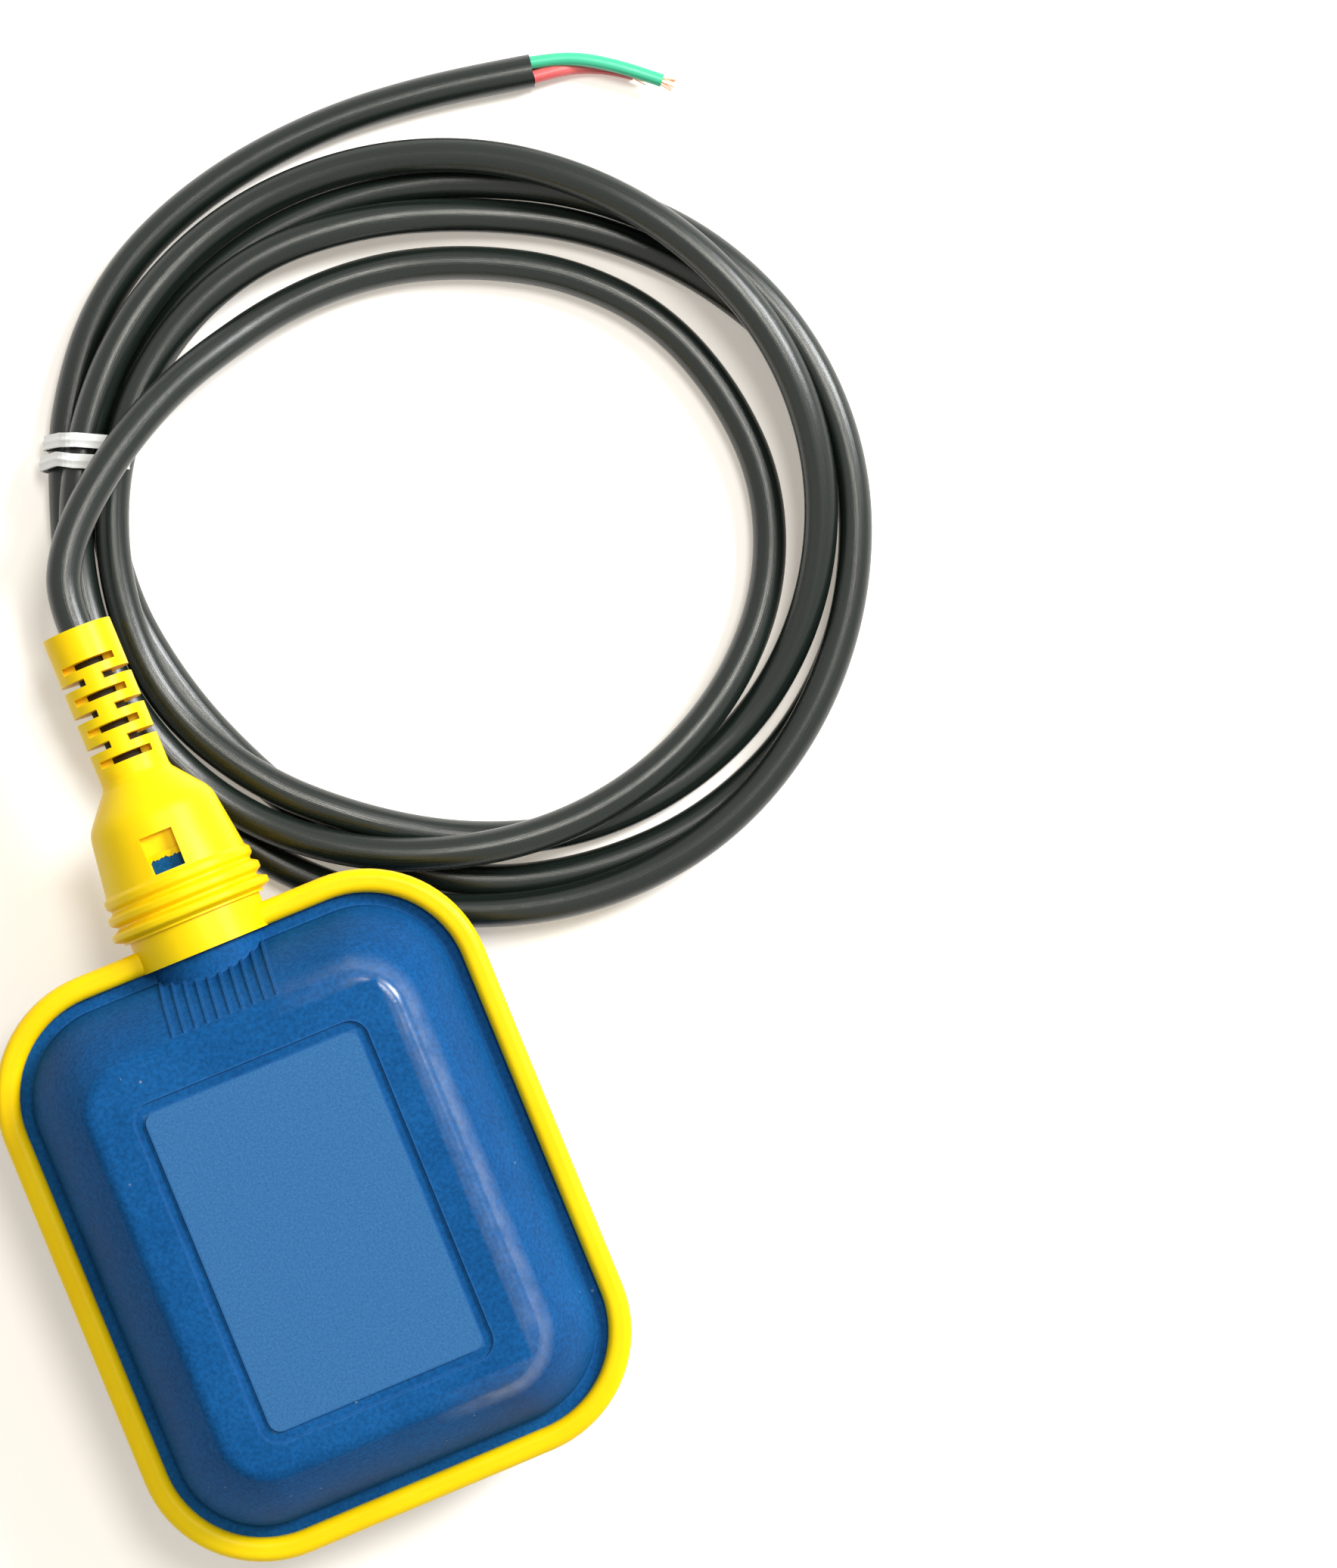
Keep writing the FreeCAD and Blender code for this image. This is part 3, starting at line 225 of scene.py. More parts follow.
def grained_plastic(name, deep, middle, pale, rough, grain_scale=1500.0, specular=0.5):
    tree, shader = new_material(name)
    place = object_place(tree)
    grain = place_group(tree, grain_group, Place=place, Scale=grain_scale)
    marks = place_group(tree, marks_group, Place=place, Amount=WEAR)
    edges = place_group(tree, edge_group, Width=EDGE_WIDTH)
    lighter = (*[min(1.0, part * 1.5 + 0.03) for part in pale], 1)
    cloudy = ramp_node(tree, grain["Tone"], [(0.3, deep), (0.7, pale), (0.5, middle)])
    speckle = ramp_node(tree, grain["Height"], [(0.35, (0.82, 0.82, 0.82)), (0.65, (1.2, 1.2, 1.2))])
    tone = mix_colours(tree, 1.0, cloudy, speckle, "MULTIPLY")
    rubbed = mix_colours(tree, math_node(tree, "MULTIPLY", edges["Mask"], WEAR), tone, lighter)
    scuffed = mix_colours(tree, math_node(tree, "MULTIPLY", marks["Scuffs"], 0.30), rubbed, lighter)
    set_inputs(tree, shader, {
        "Base Color": mix_colours(tree, marks["Specks"], scuffed, DUST),
        "Roughness": map_range(tree, grain["Tone"], 0.3, 0.7, rough - 0.06, rough + 0.08),
        "Specular IOR Level": specular})
    add_bump(tree, shader, grain["Height"], 0.5, GRAIN_DEPTH)
    return tree, shader


shell_tree, shell_shader = grained_plastic("blue_shell", (0.005, 0.066, 0.215), (0.007, 0.082, 0.255),
                                           (0.010, 0.098, 0.295), 0.48, specular=0.03)
print("finish", finishes["blue_shell"].name)

# %% The framed field has its own coarser grain
FIELD_HALF_X, FIELD_HALF_Y = 0.0175, 0.0263
FIELD_SHIFT_Y = 0.001
FIELD_LEVEL = 0.0409


def past_half(tree, coordinate, half):
    """How far a coordinate lies past half a width, on either side of the middle."""
    return math_node(tree, "SUBTRACT", math_node(tree, "ABSOLUTE", coordinate), half)


shell_place = object_place(shell_tree)
where = add_node(shell_tree, "SeparateXYZ", {"Vector": shell_place}).outputs
shifted = math_node(shell_tree, "ADD", where["Y"], FIELD_SHIFT_Y)
outside = math_node(shell_tree, "MAXIMUM", past_half(shell_tree, where["X"], FIELD_HALF_X),
                    past_half(shell_tree, shifted, FIELD_HALF_Y))
below = math_node(shell_tree, "SUBTRACT", FIELD_LEVEL, where["Z"])
in_field = map_range(shell_tree, math_node(shell_tree, "MAXIMUM", outside, below), 0.0001, -0.0003)
coarse = noise_node(shell_tree, shell_place, 2600.0, Detail=3.0, Roughness=0.7)
speckled = ramp_node(shell_tree, coarse, [(0.35, (0.031, 0.129, 0.310)), (0.65, (0.048, 0.171, 0.392))])
plain = shell_shader.inputs["Base Color"].links[0].from_socket
set_inputs(shell_tree, shell_shader, {"Base Color": mix_colours(shell_tree, in_field, plain, speckled)})
add_bump(shell_tree, shell_shader, math_node(shell_tree, "MULTIPLY", coarse, in_field), 0.8, 0.00008)
print("field finish on", finishes["blue_shell"].name)

# %% The plateau's rounded edge is rubbed to a gloss
PLATEAU_HALF_X, PLATEAU_HALF_Y = 0.0232, 0.0312
EDGE_LOW, EDGE_HIGH = 0.0372, 0.0398
GLOSS_FROM_X, GLOSS_TO_X = 0.006, 0.022
beyond = math_node(shell_tree, "MAXIMUM", past_half(shell_tree, where["X"], PLATEAU_HALF_X),
                   past_half(shell_tree, where["Y"], PLATEAU_HALF_Y))
past_edge = map_range(shell_tree, beyond, 0.0, 0.0006)
near_top = map_range(shell_tree, where["Z"], EDGE_LOW, EDGE_HIGH)
one_side = map_range(shell_tree, where["X"], GLOSS_FROM_X, GLOSS_TO_X)
rubbed_top = math_node(shell_tree, "MULTIPLY", past_edge, near_top)
rubbed_edge = math_node(shell_tree, "MULTIPLY", rubbed_top, one_side)
patches = math_node(shell_tree, "MULTIPLY", noise_node(shell_tree, shell_place, 350.0, Detail=4.0), 2.0)
set_inputs(shell_tree, shell_shader, {
    "Coat Weight": math_node(shell_tree, "MULTIPLY", rubbed_edge, patches), "Coat Roughness": 0.24})
print("polished edge on", finishes["blue_shell"].name)

# %% [markdown]
# ## The yellow moulding
# The rim, bell and boot are one soft moulding in a glossy yellow elastomer. Light gets a little way
# into it, so its shaded sides turn orange and never brown. A little subsurface light gives that, and
# a slow ripple in the surface breaks the reflections as a soft moulding does.

# %% Yellow moulding finish
tree, shader = new_material("yellow_rubber")
place = object_place(tree)
grain = place_group(tree, grain_group, Place=place, Scale=900.0)
marks = place_group(tree, marks_group, Place=place, Amount=0.5)
tone = ramp_node(tree, grain["Tone"], [(0.32, (1.0, 0.640, 0.0006)), (0.68, (1.0, 0.715, 0.0015))])
soiled = math_node(tree, "MULTIPLY", marks["Scuffs"], 0.25)
set_inputs(tree, shader, {
    "Base Color": mix_colours(tree, soiled, tone, (0.62, 0.38, 0.02, 1)),
    "Roughness": map_range(tree, grain["Tone"], 0.3, 0.7, 0.28, 0.42),
    "Specular IOR Level": 0.18,
    "Subsurface Weight": 0.25,
    "Subsurface Radius": (0.0030, 0.0016, 0.0003),
    "Subsurface Scale": 0.5})
add_bump(tree, shader, noise_node(tree, place, 160.0, Detail=2.0), 0.25, 0.0004)
add_bump(tree, shader, grain["Height"], 0.3, 0.00003)
print("finish", finishes["yellow_rubber"].name)

# %% [markdown]
# ## The cable's sheath
# A sheath is pulled out of a hot die, which leaves faint lines along it. Its pattern therefore
# follows the cable and not the room: the tube's own UV map gives the distance along it and the turn
# round it. The turn goes through sine and cosine, so the pattern meets itself without a seam.

# %% Lines along a tube
drawn_group, given, result = new_group(
    "drawn_lines", [("Turns", "Float", 9.0), ("Length", "Float", 40.0)], ["Lines", "Cloud"])
uv = add_node(drawn_group, "SeparateXYZ", {
    "Vector": add_node(drawn_group, "TexCoord").outputs["UV"]}).outputs
turn = math_node(drawn_group, "MULTIPLY", uv["Y"], 2 * math.pi)
round_x = math_node(drawn_group, "MULTIPLY", math_node(drawn_group, "COSINE", turn), given["Turns"])
round_y = math_node(drawn_group, "MULTIPLY", math_node(drawn_group, "SINE", turn), given["Turns"])
run = math_node(drawn_group, "MULTIPLY", uv["X"], given["Length"])
spot = add_node(drawn_group, "CombineXYZ", {"X": round_x, "Y": round_y, "Z": run}).outputs["Vector"]
set_inputs(drawn_group, result, {
    "Lines": noise_node(drawn_group, spot, 1.6, Detail=5.0, Roughness=0.65),
    "Cloud": noise_node(drawn_group, spot, 0.35, Detail=2.0)})
print("group", drawn_group.name)


# %% Sheath and core finishes
def drawn_plastic(name, deep, pale, rough, turns, length, depth):
    tree, shader = new_material(name)
    drawn = place_group(tree, drawn_group, Turns=turns, Length=length)
    set_inputs(tree, shader, {
        "Base Color": ramp_node(tree, drawn["Cloud"], [(0.35, deep), (0.65, pale)]),
        "Roughness": map_range(tree, drawn["Lines"], 0.3, 0.7, rough - 0.07, rough + 0.09)})
    add_bump(tree, shader, drawn["Lines"], 0.6, depth)


CORE_TONES = {
    "green": [(0.045, 0.52, 0.28), (0.060, 0.58, 0.32), (0.075, 0.64, 0.37)],
    "red": [(0.64, 0.09, 0.09), (0.70, 0.12, 0.12), (0.76, 0.15, 0.15)],
    "black": [(0.012, 0.012, 0.013), (0.017, 0.017, 0.018), (0.022, 0.022, 0.024)]}
drawn_plastic("black_sheath", (0.006, 0.010, 0.008), (0.010, 0.016, 0.013), 0.25,
              turns=9.0, length=30.0, depth=0.00005)
for colour, tones in CORE_TONES.items():
    drawn_plastic(colour + "_core", tones[0], tones[-1], 0.30, turns=3.0, length=3.0, depth=0.00003)
print("finishes", list(finishes))


# %% [markdown]
# ## The cable
# The cable is one open spline. It leaves the boot, comes down over the tie, makes four loose turns and
# runs out along the coil's outside to its stripped end. Each turn has its own radii and heights,
# because loose turns fan out and climb over each other. A loop turns them into control points, one
# every twenty degrees.

# %% Route of the cable
LEAD = [(0, 99.5, 20.75), (0, 105.2, 20.75), (2.9, 111.3, 20.2), (7.6, 116.6, 19.0), (13.0, 121.2, 17.6),
        (18.8, 125.3, 16.0), (25.6, 129.2, 14.0)]
COIL_CENTRE = (64.5, 92.1)
TIE_ANGLE = 147
TURN_STEP = 20
TURN_RADII = [
    [50.9, 47.5, 45.4, 44.2, 45.2, 46.8, 47.7, 49.5, 50.1, 49.8, 50.0, 51.1, 53.1, 56.8, 60.7, 63.2, 64.6],
    [64.7, 65.1, 64.8, 63.1, 61.2, 59.3, 58.4, 58.4, 58.1, 57.3, 56.2, 54.2, 52.5, 50.9, 51.1, 54.1, 57.8,
     58.6],
    [59.0, 58.5, 56.5, 53.2, 51.9, 53.6, 56.9, 61.5, 64.1, 64.3, 63.5, 61.6, 59.4, 58.3, 55.7, 53.3, 54.7,
     58.5],
    [61.6, 60.9, 59.5, 58.2, 57.7, 59.1, 61.0, 62.6, 63.6, 63.6, 63.9, 64.3, 63.8, 63.1, 63.6, 64.3, 64.9,
     65.9, 67.4]]
TURN_HEIGHTS = [
    [11.5, 5.1, 2.8, 2.8, 2.8, 2.8, 2.8, 2.8, 2.8, 4.6, 7.1, 8.3, 10.1, 9.8, 7.9, 9.2, 8.2],
    [8.6, 7.6, 4.9, 6.0, 8.7, 11.2, 12.2, 12.0, 10.4, 7.6, 3.1, 2.8, 2.8, 4.4, 7.6, 8.2, 7.6, 8.3],
    [8.4, 7.8, 7.5, 6.2, 3.5, 2.8, 2.8, 2.8, 2.8, 2.8, 2.8, 2.8, 2.8, 2.8, 2.8, 2.8, 2.8, 2.8],
    [3.5, 2.8, 2.8, 2.8, 3.1, 4.8, 7.3, 8.2, 8.2, 8.2, 8.3, 7.8, 6.3, 5.6, 3.7, 2.8, 2.8, 2.8, 2.8]]
TAIL = [(13.0, 137.4, 2.75), (19.6, 145.8, 2.75), (27.6, 152.3, 2.75), (37.0, 157.0, 2.75),
        (47.8, 160.3, 2.75), (59.5, 162.1, 2.75), (71.5, 162.5, 2.75), (83.2, 161.5, 2.75),
        (93.6, 159.9, 2.75), (102.3, 158.2, 2.75)]

cable_points = [Vector(point) for point in LEAD]
angle = TIE_ANGLE
for radii, heights in zip(TURN_RADII, TURN_HEIGHTS):
    for radius, height in zip(radii, heights):
        angle -= TURN_STEP
        way = math.radians(angle)
        cable_points.append(Vector((COIL_CENTRE[0] + radius * math.cos(way),
                                    COIL_CENTRE[1] + radius * math.sin(way), height)))
cable_points += [Vector(point) for point in TAIL]
print("control points", len(cable_points))


# %% Spline and tube
def spline_mesh(name, points, radius=0.0, sides=8):
    """The mesh of a smooth spline along points in millimetres: a tube, or a bare line."""
    curve = bpy.data.curves.new(name, "CURVE")
    curve.dimensions = "3D"
    curve.resolution_u = 12
    curve.bevel_depth = radius * MM
    curve.bevel_resolution = sides
    curve.use_fill_caps = True
    spline = curve.splines.new("NURBS")
    spline.points.add(len(points) - 1)
    for point, place in zip(spline.points, points):
        point.co = (*(Vector(place) * MM), 1)
    spline.order_u = 3
    spline.use_endpoint_u = True
    return bpy.data.meshes.new_from_object(bpy.data.objects.new(name, curve))


def tube_piece(name, points, radius, sides, finish):
    """A tube round a smooth spline, and the points of the spline that it follows."""
    path = [vertex.co.copy() for vertex in spline_mesh(name + "_line", points).vertices]
    tube = spline_mesh(name + "_tube", points, radius, sides)
    tube.name = name
    for face in tube.polygons:
        face.use_smooth = True
    tube.materials.append(finish)
    return add_object(name, tube), path


def path_length(path):
    return sum((b - a).length for a, b in zip(path, path[1:]))


SHEATH_RADIUS = 2.75
cable, cable_path = tube_piece("cable", cable_points, SHEATH_RADIUS, 10, finishes["black_sheath"])
print("cable", round(path_length(cable_path), 3), "m,", len(cable.data.polygons), "faces, UV maps",
      [layer.name for layer in cable.data.uv_layers])

# %% [markdown]
# ## Cores and strands
# Three insulated cores come out of the cut sheath, and fine copper strands out of each core. Strands
# fan out when the insulation is pulled off, so each gets its own slightly different end.

# %% Cores
CORE_RADIUS = 1.1
CORE_LINES = {
    "green": [(102.53, 159.38, 3.3), (106.6, 158.5, 3.3), (110.9, 156.7, 3.6), (115.2, 153.9, 3.6),
              (118.9, 151.0, 3.4), (121.6, 148.7, 3.3)],
    "red": [(102.07, 157.02, 3.3), (106.3, 156.7, 2.7), (110.5, 156.0, 1.5), (115.2, 153.9, 1.15),
            (118.0, 151.8, 1.15)],
    "black": [(102.3, 158.2, 1.35), (104.4, 158.5, 1.25), (106.3, 158.4, 1.15), (107.9, 158.0, 1.15)]}
core_pieces = {}
for colour, points in CORE_LINES.items():
    piece, core_path = tube_piece("insulated_core_" + colour, points, CORE_RADIUS, 5,
                                  finishes[colour + "_core"])
    core_pieces[colour] = piece
    print(piece.name, round(path_length(core_path) * 1000, 1), "mm")

# %% Copper finish
tree, shader = new_material("bare_copper")
tarnish = noise_node(tree, object_place(tree), 700.0, Detail=3.0)
set_inputs(tree, shader, {
    "Base Color": ramp_node(tree, tarnish, [(0.35, (0.72, 0.36, 0.20)), (0.65, (0.95, 0.62, 0.42))]),
    "Metallic": 1.0,
    "Roughness": map_range(tree, tarnish, 0.0, 1.0, 0.2, 0.45)})
print("finish", finishes["bare_copper"].name)


# %% Strands
def shape_piece(name, shape, finish):
    """A piece in one finish from a bmesh, which is used up."""
    mesh = bpy.data.meshes.new(name)
    shape.to_mesh(mesh)
    shape.free()
    mesh.materials.append(finish)
    return add_object(name, mesh)


STRAND_COUNT = 9
STRAND_RADIUS = 0.10
STRAND_LENGTH = 2.6
STRAND_BOW = 0.12
STRAND_TURN = 2.4
STEM_RING = 0.55
STEM_DEPTH = 0.8
FAN_LEAST, FAN_MORE = 0.25, 0.9
FLOOR_GAP = 0.05
strand_pieces = {}
for colour, points in CORE_LINES.items():
    end, before = Vector(points[-1]), Vector(points[-2])
    ahead = (end - before).normalized()
    aside = ahead.cross(Vector((0, 0, 1))).normalized()
    up = aside.cross(ahead)
    bundle = bmesh.new()
    for n in range(STRAND_COUNT):
        ring = STEM_RING * math.sqrt(n / STRAND_COUNT)
        out = aside * math.cos(STRAND_TURN * n) + up * math.sin(STRAND_TURN * n)
        chance = 0.5 + 0.5 * noise.noise(Vector((n * 3.1, len(colour), 0.4)))
        spread = FAN_LEAST + FAN_MORE * chance
        stem = end + out * ring - ahead * STEM_DEPTH
        tip = end + out * (ring + spread) + ahead * (STRAND_LENGTH * (0.72 + 0.05 * (n % 5)))
        tip.z = max(tip.z, STRAND_RADIUS + FLOOR_GAP)
        middle = (stem + tip) * 0.5 + out * STRAND_BOW
        bundle.from_mesh(spline_mesh("strand", [stem, middle, tip], STRAND_RADIUS, 1))
    piece = shape_piece("copper_strands_" + colour, bundle, finishes["bare_copper"])
    strand_pieces[colour] = piece
    print(piece.name, len(piece.data.polygons), "faces")

# %% [markdown]
# ## The twist tie
# The tie is a narrow plastic ribbon with a wire moulded along its middle, and two passes of it hold
# the bundle. A ribbon pulled tight takes the shortest way round the strands, which is their convex
# hull. So the hull gives each pass its outline, the edges are extruded to the ribbon's width, and
# the sheet is thickened. The wire shows as a soft ridge.

# %% Tie finish
tree, shader = new_material("white_tie")
place = object_place(tree)
grain = place_group(tree, grain_group, Place=place, Scale=2200.0)
marks = place_group(tree, marks_group, Place=place, Amount=0.6)
tone = ramp_node(tree, grain["Tone"], [(0.3, (0.80, 0.82, 0.82)), (0.7, (0.92, 0.94, 0.93))])
grubby = math_node(tree, "MULTIPLY", marks["Scuffs"], 0.2)
set_inputs(tree, shader, {
    "Base Color": mix_colours(tree, grubby, tone, (0.5, 0.5, 0.47, 1)),
    "Roughness": map_range(tree, grain["Height"], 0.0, 1.0, 0.30, 0.45),
    "Subsurface Weight": 0.15,
    "Subsurface Radius": (0.001, 0.001, 0.001),
    "Subsurface Scale": 0.5})
print("finish", finishes["white_tie"].name)

# %% Tie passes
BUNDLE = [(64.7, 8.6), (59.0, 8.4), (61.6, 3.5), (67.4, 2.8)]
BUNDLE_MIDDLE, BUNDLE_HEIGHT = 64.75, 5.5
HULL_STEPS = 24
RIBBON, RIBBON_THICK, RIBBON_GAP = 2.3, 0.45, 0.12
RIDGE_HEIGHT, RIDGE_HALF = 0.2, 0.45
SWAY, SWAY_SCALE = 0.7, 0.16
PASSES = [((10.9, 128.45), 155.0), ((9.1, 125.55), 157.8)]


def hull_outline(reach):
    """The shortest line round the bundle's strands, at a given distance from their centres."""
    turns = [2 * math.pi * n / HULL_STEPS for n in range(HULL_STEPS)]
    spots = [(across - BUNDLE_MIDDLE + reach * math.cos(turn), height + reach * math.sin(turn))
             for across, height in BUNDLE for turn in turns]
    return [spots[n] for n in convex_hull_2d(spots)]


def ribbon_loop(outline, spot, way):
    part = bmesh.new()
    rim = [part.verts.new((x, -RIBBON / 2, z)) for x, z in outline]
    for n in range(len(rim)):
        part.edges.new((rim[n - 1], rim[n]))
    made = bmesh.ops.extrude_edge_only(part, edges=part.edges[:])
    moved = [item for item in made["geom"] if isinstance(item, bmesh.types.BMVert)]
    bmesh.ops.translate(part, verts=moved, vec=(0, RIBBON, 0))
    across = [edge for edge in part.edges if abs(edge.verts[0].co.y - edge.verts[1].co.y) > 1]
    bmesh.ops.subdivide_edges(part, edges=across, cuts=7)
    for vert in part.verts:
        away = Vector((vert.co.x, 0, vert.co.z - BUNDLE_HEIGHT)).normalized()
        sway = noise.noise(Vector((vert.co.x * SWAY_SCALE, spot[0], vert.co.z * SWAY_SCALE)))
        vert.co += away * RIDGE_HEIGHT * max(0.0, 1 - abs(vert.co.y) / RIDGE_HALF)
        vert.co.y += SWAY * sway
    bmesh.ops.recalc_face_normals(part, faces=part.faces[:])
    bmesh.ops.solidify(part, geom=part.faces[:], thickness=-RIBBON_THICK)
    bmesh.ops.rotate(part, verts=part.verts[:], matrix=Matrix.Rotation(math.radians(way), 3, "Z"))
    lowest = min(vert.co.z for vert in part.verts)
    bmesh.ops.translate(part, verts=part.verts[:], vec=(*spot, FLOOR_GAP - lowest))
    return part


def join_part(whole, part):
    """Add one bmesh to another by way of a mesh, and free it."""
    held = bpy.data.meshes.new("tie_part")
    part.to_mesh(held)
    part.free()
    whole.from_mesh(held)


tie_shape = bmesh.new()
for spot, way in PASSES:
    join_part(tie_shape, ribbon_loop(hull_outline(SHEATH_RADIUS + RIBBON_GAP), spot, way))
print("tie passes", len(tie_shape.faces), "faces, top", round(max(v.co.z for v in tie_shape.verts), 1), "mm")

# %% Twisted ends of the tie
END_START, END_STOP = Vector((13.2, 123.9, 1.35)), Vector((16.9, 121.5, 1.4))
END_WIDTH, END_THICK, END_HALF_TURNS = 1.7, 0.4, 2.5
end_part = bmesh.new()
bmesh.ops.create_grid(end_part, x_segments=32, y_segments=1, size=0.5)
end_way = END_STOP - END_START
turn_in = end_way.to_track_quat("X", "Z").to_matrix()
for vert in end_part.verts:
    share = vert.co.x + 0.5
    twist = Matrix.Rotation(share * END_HALF_TURNS * math.pi, 3, "X")
    lifted = twist @ Vector((0, vert.co.y * END_WIDTH, 0))
    vert.co = END_START + turn_in @ (Vector((share * end_way.length, 0, 0)) + lifted)
bmesh.ops.solidify(end_part, geom=end_part.faces[:], thickness=END_THICK)
join_part(tie_shape, end_part)
bmesh.ops.recalc_face_normals(tie_shape, faces=tie_shape.faces[:])
bmesh.ops.scale(tie_shape, verts=tie_shape.verts[:], vec=(MM, MM, MM))
bundle_tie = shape_piece("bundle_tie", tie_shape, finishes["white_tie"])
print("tie", len(bundle_tie.data.polygons), "faces")

# %% [markdown]
# ## Flash in the window
# The small window in the bell is where a pin held the neck while the soft moulding was poured round
# it. A thin torn lip of the yellow material has crept over the blue neck there. A grid is laid on
# the neck's curve, its front edge is torn by noise, and it is thickened.

# %% Window flash
NECK_TOP, NECK_CURVE = 20.75, 9.2
FLASH_WIDTH, FLASH_THICK, FLASH_LIFT = 5.3, 0.16, 0.05
FLASH_BACK, FLASH_LEAST = 61.75, 0.35
flash = bmesh.new()
bmesh.ops.create_grid(flash, x_segments=36, y_segments=3, size=0.5)
for vert in flash.verts:
    front = 0.5 - vert.co.y
    x = vert.co.x * FLASH_WIDTH
    slow = 0.45 * noise.noise(Vector((x * 1.7, 0.3, 2.0)))
    quick = 0.2 * noise.noise(Vector((x * 6, 4.0, 1.0)))
    torn = 0.55 + slow + quick
    neck = NECK_TOP + math.sqrt(NECK_CURVE ** 2 - x * x)
    vert.co = Vector((x, FLASH_BACK - front * (FLASH_LEAST + torn),
                      neck + FLASH_LIFT + FLASH_THICK * (1 - front)))
bmesh.ops.recalc_face_normals(flash, faces=flash.faces[:])
bmesh.ops.solidify(flash, geom=flash.faces[:], thickness=-FLASH_THICK)
bmesh.ops.recalc_face_normals(flash, faces=flash.faces[:])
bmesh.ops.scale(flash, verts=flash.verts[:], vec=(MM, MM, MM))
window_flash = shape_piece("window_flash", flash, finishes["yellow_rubber"])
print("flash", len(window_flash.data.polygons), "faces")


# %% [markdown]
# ## Inner pieces
# Nobody sees the inside of a sealed float, but whoever cuts it open in a drawing does. The box is
# plain moulded plastic, the switch dark plastic with a red-brown lid, and the metal pieces are
# rolled, plated or polished, each with its own gloss.

# %% Metal finish
def worked_metal(name, deep, pale, smooth, rough, scale, stretch):
    tree, shader = new_material(name)
    lined = add_node(tree, "Mapping", {"Vector": object_place(tree), "Scale": stretch}).outputs["Vector"]
    lines = noise_node(tree, lined, scale, Detail=4.0)
    set_inputs(tree, shader, {
        "Base Color": ramp_node(tree, lines, [(0.3, deep), (0.7, pale)]),
        "Metallic": 1.0,
        "Roughness": map_range(tree, lines, 0.0, 1.0, smooth, rough)})
    add_bump(tree, shader, lines, 0.3, 0.00001)


METALS = {
    "zinc_steel": [(0.52, 0.55, 0.60), (0.72, 0.74, 0.78), 0.25, 0.5, 500.0, (1, 1, 1)],
    "spring_steel": [(0.50, 0.50, 0.51), (0.66, 0.66, 0.67), 0.18, 0.38, 400.0, (1, 9, 1)],
    "bearing_steel": [(0.66, 0.67, 0.69), (0.76, 0.77, 0.79), 0.06, 0.16, 300.0, (1, 1, 1)],
    "tinned_brass": [(0.70, 0.66, 0.52), (0.82, 0.79, 0.68), 0.2, 0.4, 500.0, (1, 6, 1)]}
for name, look in METALS.items():
    worked_metal(name, *look)
print("metals", list(METALS))

# %% Plain plastics inside
PLASTICS = {
    "carrier_plastic": [(0.60, 0.60, 0.57), (0.66, 0.66, 0.63), (0.72, 0.72, 0.70), 0.45],
    "switch_case": [(0.014, 0.014, 0.015), (0.020, 0.020, 0.022), (0.028, 0.028, 0.031), 0.40],
    "switch_lid": [(0.16, 0.035, 0.020), (0.20, 0.045, 0.028), (0.25, 0.055, 0.035), 0.42],
    "plunger_plastic": [(0.42, 0.03, 0.025), (0.50, 0.04, 0.03), (0.58, 0.05, 0.04), 0.35],
    "potting_resin": [(0.012, 0.012, 0.014), (0.02, 0.02, 0.023), (0.03, 0.03, 0.033), 0.18, 300.0],
    "sleeve_vinyl": [(0.60, 0.60, 0.57), (0.68, 0.68, 0.65), (0.76, 0.76, 0.73), 0.32]}
for name, look in PLASTICS.items():
    grained_plastic(name, *look)
print("plastics", list(PLASTICS))

# %% CAD pieces with a finish of their own
# Painted shade: the sheath in the boot is tinted orange-brown like the shaded slots round it.
grained_plastic("cable_in_gland", (0.018, 0.012, 0.005), (0.024, 0.017, 0.007), (0.030, 0.020, 0.008),
                0.60, specular=0.15)
for colour, tones in CORE_TONES.items():
    grained_plastic("inner_core_" + colour, *tones, 0.32)
print("finishes", len(finishes))

# %% [markdown]
# ## Finishes on the CAD nodes
# The CAD shells, moulding and inner pieces already have their real shape, so they only get their
# finish. Each node's record names a material slot, and the slot's name is the finish's name here.
# A finish that bears a node's own name comes first: the sheath inside the boot is dull, because the
# hot moulding gripped it, and it is tinted orange-brown as painted shade of the slots in the yellow
# boot; the hidden cores carry no map of lines, so their grain follows the room.

# %% Dress the nodes
for part in frame["record"]["subparts"]:
    node = frame["nodes"][part["node"]]
    node.data.materials.clear()
    node.data.materials.append(finishes.get(part["node"], finishes[part["material_slot"]]))


# %% [markdown]
# ## Floor and light
# The switch lies on a plain white sheet under two soft lamps. The cool one stands low to the right
# and gives the float a bright and a dark flank. The warm one hangs nearly overhead and is wide,
# because only such a lamp draws a gleam along the whole ring of a cable.

# %% Floor
def looked_at(tree):
    """One where the eye looks, straight, in a mirror or through glass, and zero for other light."""
    sight = add_node(tree, "LightPath").outputs
    bent = math_node(tree, "MAXIMUM", sight["Is Glossy Ray"], sight["Is Transmission Ray"])
    return math_node(tree, "MAXIMUM", sight["Is Camera Ray"], bent)


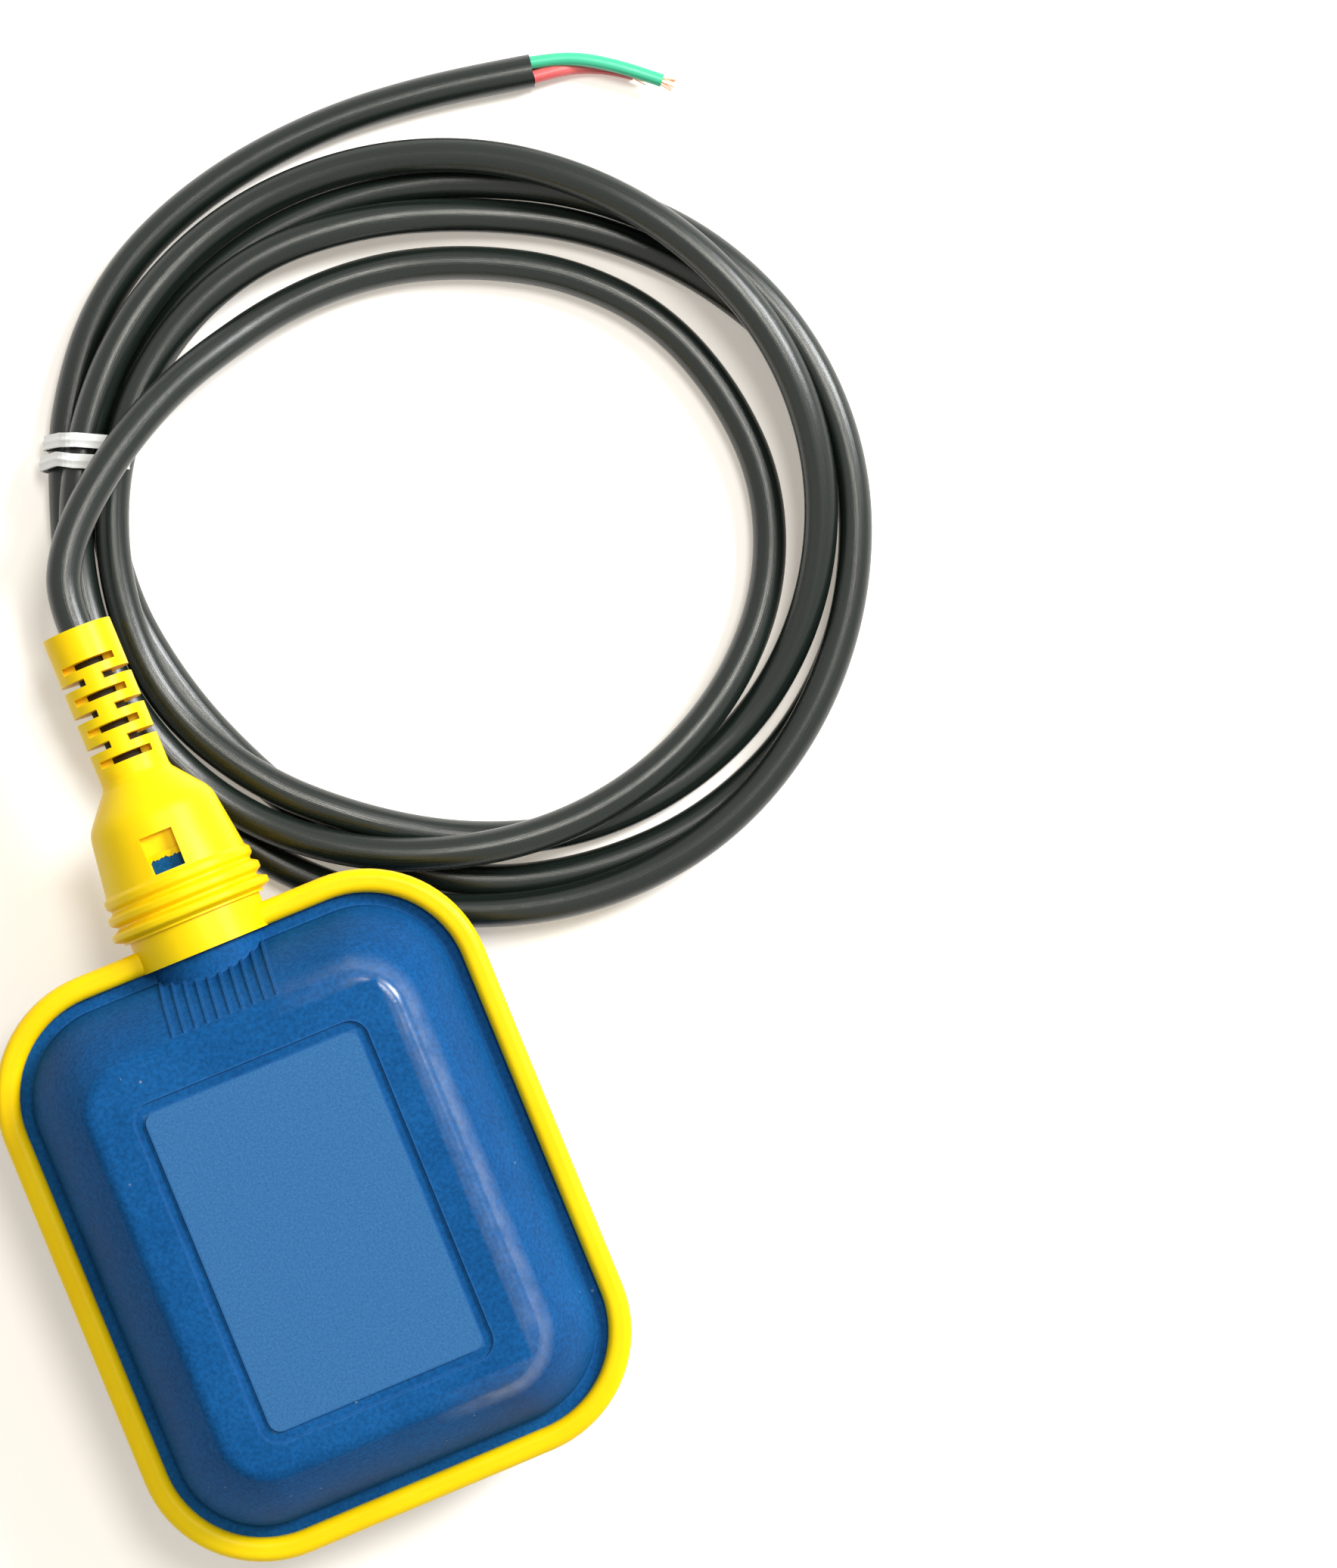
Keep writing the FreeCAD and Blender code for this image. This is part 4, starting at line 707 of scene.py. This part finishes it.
FLOOR_HALF, FLOOR_DROP = 3.0, 0.0002
floor_shape = bmesh.new()
bmesh.ops.create_grid(floor_shape, x_segments=1, y_segments=1, size=FLOOR_HALF)
tree, shader = new_material("white_paper")
seen = looked_at(tree)
set_inputs(tree, shader, {
    "Base Color": mix_colours(tree, seen, (0.80, 0.79, 0.77, 1), (1, 1, 1, 1)),
    "Roughness": 0.8,
    "Emission Color": mix_colours(tree, seen, (0, 0, 0, 1), (0.33, 0.30, 0.26, 1)),
    "Emission Strength": 1.0})
floor = shape_piece("floor", floor_shape, finishes["white_paper"])
floor.location.z = -FLOOR_DROP
print("floor at", round(floor.location.z * 1000, 2), "mm")


# %% Lamps and world
def soft_lamp(name, place, aim, size, power, colour):
    data = bpy.data.lights.new(name, "AREA")
    data.shape = "DISK"
    data.size = size
    data.energy = power
    data.color = colour
    lamp = add_object(name, data)
    lamp.location = place
    lamp.rotation_euler = (Vector(aim) - Vector(place)).to_track_quat("-Z", "Y").to_euler()


soft_lamp("key_lamp", place=(0.97, 0.30, 0.76), aim=(0.04, 0.04, 0), size=0.45, power=16.5,
          colour=(0.98, 0.99, 1))
soft_lamp("warm_lamp", place=(0.36, 0.26, 1.1), aim=(0.06, 0.08, 0), size=0.34, power=5.4,
          colour=(1, 0.96, 0.88))
world = bpy.data.worlds.new("studio")
world.use_nodes = True
bpy.context.scene.world = world
tree = world.node_tree
set_inputs(tree, tree.nodes["Background"], {
    "Color": (1, 0.97, 0.93, 1),
    "Strength": map_range(tree, looked_at(tree), 0.0, 1.0, 0.37, 1.0)})
bpy.context.scene.view_settings.view_transform = "Standard"
print("lamps", [item.name for item in bpy.data.lights])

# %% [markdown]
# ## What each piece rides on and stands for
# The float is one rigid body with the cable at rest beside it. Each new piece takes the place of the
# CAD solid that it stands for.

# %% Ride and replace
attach(window_flash, "float")
for piece in [cable, bundle_tie, *core_pieces.values(), *strand_pieces.values()]:
    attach(piece, "float")
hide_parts("cable_lead", "cable_coil", "cable_tail")
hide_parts("twist_tie")
for colour in CORE_LINES:
    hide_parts("core_" + colour)
    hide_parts("strands_" + colour)
